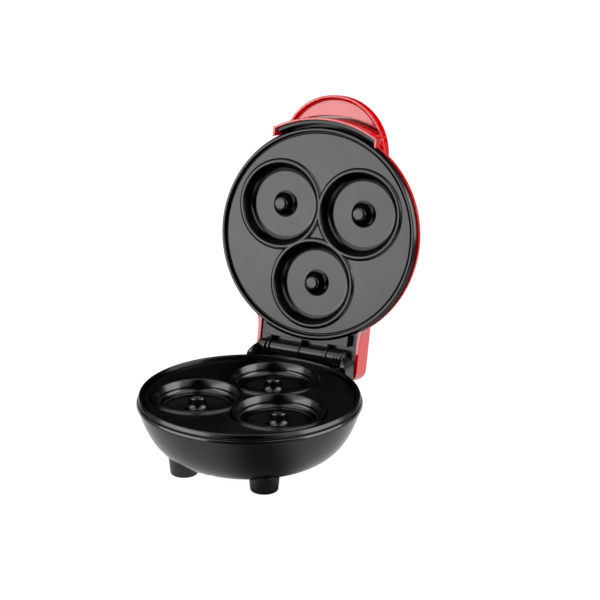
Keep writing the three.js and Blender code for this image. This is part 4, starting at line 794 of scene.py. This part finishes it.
def make_bracket():
    shoulder_z = BRACKET_TOP - BRACKET_SHOULDER * BRACKET_SHOULDER_STRETCH
    centre = (BRACKET_HALF_WIDTH - BRACKET_SHOULDER, shoulder_z)
    shoulder = arc(centre, (BRACKET_SHOULDER, BRACKET_TOP - shoulder_z), 0, 90, SHOULDER_STEPS)
    front = [
        (-BRACKET_HALF_WIDTH, BRACKET_BOTTOM),
        (BRACKET_HALF_WIDTH, BRACKET_BOTTOM),
        *shoulder,
        *[(-x, z) for x, z in reversed(shoulder)],
    ]
    side = eased([
        (BRACKET_FRONT - BRACKET_SLOPE, BRACKET_BOTTOM),
        (BRACKET_BACK - BRACKET_SLOPE / 2, BRACKET_BOTTOM, BRACKET_EASE),
        (BRACKET_BACK, BRACKET_BOTTOM + BRACKET_SLOPE, BRACKET_EASE),
        (BRACKET_BACK, PIVOT_Z, BRACKET_BACK_EASE),
        (BRACKET_BACK - (BRACKET_TOP - PIVOT_Z), BRACKET_TOP, BRACKET_CROWN_EASE),
        (BRACKET_FRONT + (BRACKET_TOP - PIVOT_Z), BRACKET_TOP, BRACKET_EASE),
        (BRACKET_FRONT, PIVOT_Z, BRACKET_EASE),
        (BRACKET_FRONT, BRACKET_BOTTOM + BRACKET_SLOPE),
    ])
    reach = BRACKET_HALF_WIDTH + OVERRUN
    body = shared(prism(front, 0, TAIL_END, "Y"), prism(side, -reach, reach, "X"))
    relief = PIVOT_Z - RELIEF_DEPTH
    cut(body, block(-EAR_INNER, EAR_INNER, 0, TAIL_END, relief, BRACKET_TOP + OVERRUN))
    stop_y, stop_z = leaf_open_point(LEAF_BACK)
    stop = block(
        -STOP_HALF_WIDTH, STOP_HALF_WIDTH, BRACKET_FRONT, stop_y - SEAT_GAP, stop_z, stop_z + STOP_HEIGHT,
    )
    parts = [body, stop]
    axis = (PIVOT_Y, PIVOT_Z)
    for x0, x1 in (LEFT_EAR_BARREL, RIGHT_EAR_BARREL):
        parts.append(rod(BASE_BARREL, x0, x1, "X", axis, BASE_BARREL_EASE))
        parts.append(block(x0, x1, PIVOT_Y - BASE_BARREL, BRACKET_BACK, relief - OVERRUN, PIVOT_Z))
    bracket = cut(join(parts), bowl_solid(SEAT_GAP))
    cut(bracket, rod(PIN_RADIUS + SEAT_GAP, *PIN_HOLE, "X", axis))
    for x in RIDGES:
        inner, outer = BASE_BARREL - RIDGE_DEPTH, BASE_BARREL + OVERRUN
        left, right = x - RIDGE_WIDTH / 2, x + RIDGE_WIDTH / 2
        ring = lathe([(inner, left), (outer, left), (outer, right), (inner, right)], SMALL)
        ring.data.transform(Matrix.Translation((0, *axis)) @ Matrix.Rotation(math.pi / 2, 4, "Y"))
        cut(ring, block(left - OVERRUN, right + OVERRUN, PIVOT_Y, TAIL_END, 0, PIVOT_Z))
        cut(bracket, ring)
    finished(bracket, "hinge_base", "base", ["hinge_bracket"], BLACK_HINGE)


def leaf_open_point(y):
    """Where a point of the leaf's underside lies, in (y, z), when the lid is open."""
    back = y - PIVOT_Y
    up = MATE + LEAF_RISE - PIVOT_Z
    return (
        PIVOT_Y + back * math.cos(OPEN_ANGLE) + up * math.sin(OPEN_ANGLE),
        PIVOT_Z - back * math.sin(OPEN_ANGLE) + up * math.cos(OPEN_ANGLE),
    )


def make_leaf():
    under = MATE + LEAF_RISE
    top = under + LEAF_THICKNESS
    leaf = block(-LEAF_HALF_WIDTH, LEAF_HALF_WIDTH, PANEL_FRONT, LEAF_BACK, under, top)
    panel = block(-PANEL_HALF_WIDTH, PANEL_HALF_WIDTH, PANEL_FRONT, PANEL_BACK, MATE + PANEL_RISE, top)
    axis = (PIVOT_Y, PIVOT_Z)
    rib_line = [
        (PANEL_BACK - OVERRUN, under + OVERRUN),
        (PANEL_BACK - OVERRUN, MATE + PANEL_RISE + LEAF_THICKNESS),
        *arc(axis, (RIB_RADIUS, RIB_RADIUS), *RIB_ARC, RIB_STEPS),
        (PIVOT_Y + RIB_RADIUS, under + OVERRUN),
    ]
    parts = [leaf, panel]
    for x0, x1 in LID_RIBS:
        parts.append(prism(rib_line, x0, x1, "X"))
    neck = LID_BARREL / 2
    for x0, x1 in LID_BARRELS:
        parts.append(rod(LID_BARREL, x0, x1, "X", axis, LID_BARREL_EASE))
        parts.append(block(x0, x1, PIVOT_Y - neck, PIVOT_Y + neck, PIVOT_Z, under + OVERRUN))
    whole = join(parts)
    cut(whole, disc(FLANGE_RADIUS + SEAT_GAP, 0, CARRIER_BOTTOM, ROUND))
    cut(whole, disc(SHELL_RADIUS - SHELL_WALL - SEAT_GAP, 0, CARRIER_RING_TOP + OVERRUN, ROUND))
    whole = shared(whole, tail_solid(SHELL_WALL + SEAT_GAP, 0))
    reach = LEAF_HALF_WIDTH + OVERRUN
    cut(whole, rod(PIN_RADIUS + SEAT_GAP, -reach, reach, "X", axis))
    finished(whole, "hinge_leaf_moulding", "lid", ["hinge_leaf"], BLACK_HINGE)


# Lid

def dome_line(inset=0.0):
    rise = DOME_TOP - SHELL_EDGE
    points = cubic((
        (SHELL_RADIUS, SHELL_EDGE),
        (SHELL_RADIUS * DOME_WALL_SHARE, SHELL_EDGE + rise * DOME_HEIGHT_SHARE),
        (SHELL_RADIUS * DOME_TURN_SHARE, DOME_TOP),
        (0, DOME_TOP),
    ), DOME_STEPS, inset)
    points[-1] = (0, points[-1][1])
    return points


def dome_solid(inset, bottom):
    skin = dome_line(inset)
    return lathe([(0, bottom), (skin[0][0], bottom), *skin])


def lip_solid(inset):
    """The lip in front of the plate; with an inset, its hollow, which runs out at the bottom."""
    low = LIP_BOTTOM - (OVERRUN if inset > 0 else 0)
    high = LIP_ROOF + SHELL_WALL - inset
    cone = lathe([(0, low), (LIP_RADIUS - inset, low), (LIP_TOP_RADIUS - inset, high), (0, high)])
    half = LIP_HALF_WIDTH - inset
    roof = half - LIP_CHEEK_TAPER
    cheeks = [
        (-half, LIP_BOTTOM - OVERRUN), (half, LIP_BOTTOM - OVERRUN),
        (roof, LIP_ROOF + SHELL_WALL), (-roof, LIP_ROOF + SHELL_WALL),
    ]
    return shared(cone, prism(cheeks, -HANDLE_CENTRE - HANDLE_REACH, -TAIL_START, "Y"))


def handle_solid(inset, bottom, top, rounding):
    """The handle, an oval drum with a rounded top; only its outside has an eased foot."""
    reach = HANDLE_REACH - inset
    half = HANDLE_HALF_WIDTH - inset
    foot = [(0, bottom), (reach, bottom)]
    if inset == 0:
        foot = eased([(0, bottom), (reach, bottom, HANDLE_EASE), (reach, top - rounding)])[:-1]
    crown = arc((reach - rounding, top - rounding), (rounding, rounding), 0, 90, CROWN_STEPS)
    return lathe([*foot, *crown, (0, top)], ROUND, half / reach, at=(0, -HANDLE_CENTRE))


def tail_solid(inset, bottom):
    """The tail over the hinge, or with an inset the space inside its walls."""
    half = TAIL_HALF_WIDTH - inset
    end = TAIL_END - inset
    corner = TAIL_CORNER - inset
    top = TAIL_TOP - inset
    right = arc((half - corner, end - corner), (corner, corner), 0, 90, TAIL_STEPS)
    plan = [(-half, TAIL_START), (half, TAIL_START), *right, *[(-x, y) for x, y in reversed(right)]]
    rounding = TAIL_ROUND - inset
    crown = arc((end - rounding, top - rounding), (rounding, rounding), 0, 90, TAIL_STEPS)
    side = [(TAIL_START, bottom), (end, bottom), *crown, (TAIL_START, top)]
    return shared(prism(plan, bottom, top, "Z"), prism(side, -half - OVERRUN, half + OVERRUN, "X"))


def tail_fillet(side):
    """Where the dome's edge runs into a side of the tail, with a roof that falls outwards."""
    half = TAIL_HALF_WIDTH
    meet = math.sqrt(SHELL_RADIUS ** 2 - half ** 2)
    outer = half + TAIL_FLARE
    start = Vector((outer, math.sqrt(SHELL_RADIUS ** 2 - outer ** 2)))
    end = Vector((half, meet + TAIL_FLARE_REACH))
    sweep = bend(start, Vector((half, meet)), end, FILLET_STEPS)
    inner = half - SHELL_WALL
    plan = [(inner, meet - SHELL_WALL), *sweep, (inner, meet + TAIL_FLARE_REACH)]
    ridge = TAIL_TOP - TAIL_ROUND
    roof = [(inner, SHELL_EDGE), (outer, SHELL_EDGE), (outer, ridge - TAIL_FLARE), (inner, ridge)]
    return shared(
        prism([(side * x, y) for x, y in plan], SHELL_EDGE, ridge, "Z"),
        prism([(side * x, z) for x, z in roof], 0, TAIL_END, "Y"),
    )


def make_shell():
    outside = join([
        dome_solid(0, SHELL_EDGE),
        lip_solid(0),
        handle_solid(0, HANDLE_EDGE, HANDLE_TOP, HANDLE_ROUND),
        tail_solid(0, SHELL_EDGE),
        tail_fillet(-1),
        tail_fillet(1),
    ])
    recess = handle_solid(HANDLE_WALL, HANDLE_EDGE - OVERRUN, HANDLE_WEB_FACE, HANDLE_WEB)
    cut(recess, lip_solid(0), dome_solid(0, SHELL_EDGE))
    cut(outside, recess)
    web_back = HANDLE_WEB_FACE + HANDLE_WEB
    cut(outside, handle_solid(SHELL_WALL, web_back, HANDLE_TOP - SHELL_WALL, HANDLE_WEB))
    slot = handle_solid(HANDLE_WALL, HANDLE_WEB_FACE - OVERRUN, web_back + OVERRUN, HANDLE_WEB)
    shared(slot, disc(LIP_TOP_RADIUS + HANDLE_SLOT, HANDLE_EDGE, HANDLE_TOP, ROUND))
    cut(outside, cut(slot, lip_solid(0)))
    cut(outside, dome_solid(SHELL_WALL, SHELL_EDGE - OVERRUN))
    cut(outside, lip_solid(LIP_WALL))
    cut(outside, tail_solid(SHELL_WALL, SHELL_EDGE - OVERRUN))
    plate_room = cut(disc(SHELL_RADIUS, 0, SHELL_EDGE, ROUND), tail_solid(0, 0))
    cut(outside, plate_room)
    cut(outside, disc(LENS_RADIUS + SEAT_GAP, SHELL_EDGE, DOME_TOP + OVERRUN, at=(0, -LAMP_FRONT)))
    finished(outside, "shell", "lid", ["lid_shell"], RED_GLOSS)


def make_carrier():
    outer = SHELL_RADIUS - SHELL_WALL - SEAT_GAP * 2
    inner = outer - CARRIER_RING
    top = CARRIER_RING_TOP
    body = lathe([
        (inner, CARRIER_BOTTOM), (outer, CARRIER_BOTTOM), (outer, top),
        (SHELF_RADIUS, SHELF_BOTTOM + SHELF_THICKNESS), (SHELF_INNER, SHELF_BOTTOM + SHELF_THICKNESS),
        (SHELF_INNER, SHELF_BOTTOM), (SHELF_RADIUS - SHELF_THICKNESS / 2, SHELF_BOTTOM),
        (inner, top - SHELF_THICKNESS),
    ])
    roof = LIP_ROOF - SEAT_GAP
    wall_top = LIP_TOP_RADIUS - LIP_WALL - SEAT_GAP
    wall_bottom = LIP_RADIUS - LIP_WALL - SEAT_GAP
    lining = lathe([
        (wall_bottom - LINING_WALL, LINING_BOTTOM), (wall_bottom, LINING_BOTTOM),
        (wall_top - SEAT_GAP, roof - OVERRUN), (wall_top - SEAT_GAP, roof),
        (inner, roof), (inner, top - SHELF_THICKNESS),
        (outer, top - SHELF_THICKNESS), (outer, roof - LINING_WALL),
        (wall_top - LINING_WALL, roof - LINING_WALL),
    ])
    half = LIP_HALF_WIDTH - LIP_WALL - SEAT_GAP
    front, back = -HANDLE_CENTRE - HANDLE_REACH, -TAIL_START - OVERRUN
    in_dome = dome_solid(SHELL_WALL + SEAT_GAP, MATE)
    body = shared(body, dome_solid(SHELL_WALL + SEAT_GAP, MATE))
    lining = shared(lining, block(-half, half, front, back, 0, DOME_TOP))
    lining = shared(lining, join([in_dome, lip_solid(LIP_WALL + SEAT_GAP)]))
    whole = join([body, lining])
    for angle in BOSS_ANGLES:
        cut(whole, disc(SCREW_HOLE, SHELF_BOTTOM - OVERRUN, DOME_TOP, at=polar(BOSS_CIRCLE, angle)))
    finished(whole, "carrier", "lid", ["lid_carrier"], BLACK_SATIN)


def dress_cad():
    """Finishes for the CAD pieces whose own shape is right."""
    finishes = {
        "gloss_red": RED_GLOSS, "gloss_black": BLACK_GLOSS, "satin_black": BLACK_SATIN,
        "non_stick": NON_STICK, "rubber": RUBBER, "painted_steel": PAINTED, "steel": STEEL,
        "element_tube": SHEATH, "bright_aluminium": PAN, "ceramic_white": CERAMIC,
        "amber_lens": AMBER, "clear_glass": GLASS,
    }
    slots = {part["node"]: part["material_slot"] for part in frame["record"]["subparts"]}
    for name, node in frame["nodes"].items():
        node.data.materials.clear()
        node.data.materials.append(finishes[slots[name]])


# Camera: degrees and bench millimetres, its far limit in metres, its focal length and the
# picture's width in pixels
CAMERA_AZIMUTH = 25.81
CAMERA_ELEVATION = 18.7
CAMERA_ROLL = 0.316
CAMERA_AIM = (34.0, 0.3, 111.7)
CAMERA_DISTANCE = 1130.0
CAMERA_FAR = 20
FOCAL_PIXELS = 1885.0
PICTURE_WIDTH = 600
SENSOR = 36.0

# Floor and studio: metres. A patch is an azimuth from the camera's, an elevation, the two cosines
# of the angle from its middle between which it fades in, and its level. A level of 1 looks white.
FLOOR_HALF_SIZE = 6.0
FLOOR_COLOUR = 0.12
FLOOR_ROUGHNESS = 0.9
FLOOR_LIFT = 0.97
FLOOR_NEAR = 0.28
FLOOR_FAR = 0.5
FLOOR_PATCHES = (
    (-90, 0, 0.06, 0.5, 0.75),
    (90, 0, 0.06, 0.5, 0.75),
)
WORLD_PATCHES = (
    (-90, 0, 0.75, 0.95, 0.8),
    (90, 0, 0.75, 0.95, 0.8),
    (-60, 45, 0.78, 0.94, 2.0),
    (60, 45, 0.78, 0.94, 2.0),
    (180, 52, 0.92, 0.985, 2.4),
)

# Softboxes: azimuth from the camera's, and metres
SOFTBOX_DISTANCE = 0.9
SOFTBOX_BOTTOM = 0.06
SOFTBOXES = {
    "left softbox": {"azimuth": -66, "width": 0.9, "height": 0.36, "level": 4.5},
    "right softbox": {"azimuth": 76, "width": 0.8, "height": 0.6, "level": 4.4},
}


def direction(azimuth, elevation):
    """Towards a light or camera: azimuth 0 is the front (-Y) and 90 is +X."""
    a, e = math.radians(azimuth), math.radians(elevation)
    return Vector((math.sin(a) * math.cos(e), -math.cos(a) * math.cos(e), math.sin(e)))


def make_camera():
    data = bpy.data.cameras.new("camera")
    data.sensor_width = SENSOR
    data.lens = FOCAL_PIXELS / PICTURE_WIDTH * SENSOR
    data.clip_end = CAMERA_FAR
    camera = bpy.data.objects.new("camera", data)
    bpy.context.scene.collection.objects.link(camera)
    back = direction(CAMERA_AZIMUTH, CAMERA_ELEVATION)
    aim = TO_BASE @ Vector(CAMERA_AIM)
    turn = back.to_track_quat("Z", "Y").to_matrix().to_4x4()
    roll = Matrix.Rotation(math.radians(CAMERA_ROLL), 4, "Z")
    camera.matrix_world = Matrix.Translation(aim + back * CAMERA_DISTANCE * MM) @ turn @ roll
    bpy.context.scene.camera = camera


def make_softbox(name, azimuth, width, height, level):
    """An upright lamp that faces the object, with its brightness as a level."""
    data = bpy.data.lights.new(name, "AREA")
    data.shape = "RECTANGLE"
    data.size = width
    data.size_y = height
    data.energy = level * math.pi * width * height
    lamp = bpy.data.objects.new(name, data)
    bpy.context.scene.collection.objects.link(lamp)
    away = direction(CAMERA_AZIMUTH + azimuth, 0)
    place = away * SOFTBOX_DISTANCE + Vector((0, 0, SOFTBOX_BOTTOM + height / 2))
    aim = place - Vector((0, 0, cad_high[2] / 2))
    lamp.matrix_world = Matrix.Translation(place) @ aim.to_track_quat("Z", "Y").to_matrix().to_4x4()


def ramp(nodes, links, value, start, end, level):
    """A smooth rise from 0 at start to level at end."""
    rise = nodes.new("ShaderNodeMapRange")
    rise.interpolation_type = "SMOOTHSTEP"
    rise.inputs["From Min"].default_value = start
    rise.inputs["From Max"].default_value = end
    rise.inputs["To Max"].default_value = level
    links.new(value, rise.inputs["Value"])
    return rise.outputs["Result"]


def arithmetic(nodes, links, operation, first, second):
    """A sum or product of two sockets."""
    step = nodes.new("ShaderNodeMath")
    step.operation = operation
    links.new(first, step.inputs[0])
    links.new(second, step.inputs[1])
    return step.outputs["Value"]


def bright_patches(nodes, links, bearing, patches):
    """The sum of soft bright patches, by how closely a bearing points at each."""
    total = None
    for azimuth, elevation, start, end, level in patches:
        towards = nodes.new("ShaderNodeVectorMath")
        towards.operation = "DOT_PRODUCT"
        towards.inputs[1].default_value = direction(CAMERA_AZIMUTH + azimuth, elevation)
        links.new(bearing, towards.inputs[0])
        patch = ramp(nodes, links, towards.outputs["Value"], start, end, level)
        total = arithmetic(nodes, links, "ADD", total, patch) if total else patch
    return total


def make_floor():
    """A pale floor, which the object's gloss shows as bright only near it and at its sides."""
    data = bmesh.new()
    bmesh.ops.create_grid(data, x_segments=1, y_segments=1, size=FLOOR_HALF_SIZE)
    floor = as_object(data, "floor")
    material = bpy.data.materials.new("pale floor")
    material.use_nodes = True
    nodes, links = material.node_tree.nodes, material.node_tree.links
    shader = nodes["Principled BSDF"]
    shader.inputs["Base Color"].default_value = (FLOOR_COLOUR, FLOOR_COLOUR, FLOOR_COLOUR, 1)
    shader.inputs["Roughness"].default_value = FLOOR_ROUGHNESS
    shader.inputs["Specular IOR Level"].default_value = 0.0
    path = nodes.new("ShaderNodeLightPath")
    place = nodes.new("ShaderNodeTexCoord").outputs["Object"]
    bearing = nodes.new("ShaderNodeVectorMath")
    bearing.operation = "NORMALIZE"
    links.new(place, bearing.inputs[0])
    reach = nodes.new("ShaderNodeVectorMath")
    reach.operation = "LENGTH"
    links.new(place, reach.inputs[0])
    sides = bright_patches(nodes, links, bearing.outputs["Vector"], FLOOR_PATCHES)
    near = ramp(nodes, links, reach.outputs["Value"], FLOOR_FAR, FLOOR_NEAR, 1.0)
    mirrored = arithmetic(nodes, links, "MULTIPLY", path.outputs["Is Glossy Ray"],
                          arithmetic(nodes, links, "MULTIPLY", sides, near))
    lift = nodes.new("ShaderNodeMath")
    lift.operation = "MULTIPLY_ADD"
    lift.inputs[1].default_value = FLOOR_LIFT
    links.new(path.outputs["Is Camera Ray"], lift.inputs[0])
    links.new(mirrored, lift.inputs[2])
    glow = nodes.new("ShaderNodeEmission")
    glow.inputs["Color"].default_value = (1, 1, 1, 1)
    links.new(lift.outputs["Value"], glow.inputs["Strength"])
    both = nodes.new("ShaderNodeAddShader")
    links.new(shader.outputs["BSDF"], both.inputs[0])
    links.new(glow.outputs["Emission"], both.inputs[1])
    links.new(both.outputs["Shader"], nodes["Material Output"].inputs["Surface"])
    floor.data.materials.append(material)


def make_world():
    """A studio that is dim except at both sides and high behind, and white to the camera."""
    world = bpy.data.worlds.new("studio")
    bpy.context.scene.world = world
    world.use_nodes = True
    nodes, links = world.node_tree.nodes, world.node_tree.links
    ground = nodes["Background"]
    ground.inputs["Color"].default_value = (1, 1, 1, 1)
    place = nodes.new("ShaderNodeTexCoord")
    sides = bright_patches(nodes, links, place.outputs["Generated"], WORLD_PATCHES)
    path = nodes.new("ShaderNodeLightPath")
    seen = nodes.new("ShaderNodeMapRange")
    seen.inputs["To Max"].default_value = 1.0
    links.new(path.outputs["Is Camera Ray"], seen.inputs["Value"])
    links.new(sides, seen.inputs["To Min"])
    links.new(seen.outputs["Result"], ground.inputs["Strength"])


make_camera()
make_housing()
make_cover()
make_feet()
make_plate("base_plate", "lower_plate", "base")
make_bracket()
make_plate("lid_plate", "upper_plate", "lid")
make_leaf()
make_shell()
make_carrier()
dress_cad()
make_floor()
make_world()
for softbox, values in SOFTBOXES.items():
    make_softbox(softbox, **values)
bpy.context.scene.view_settings.view_transform = "Standard"
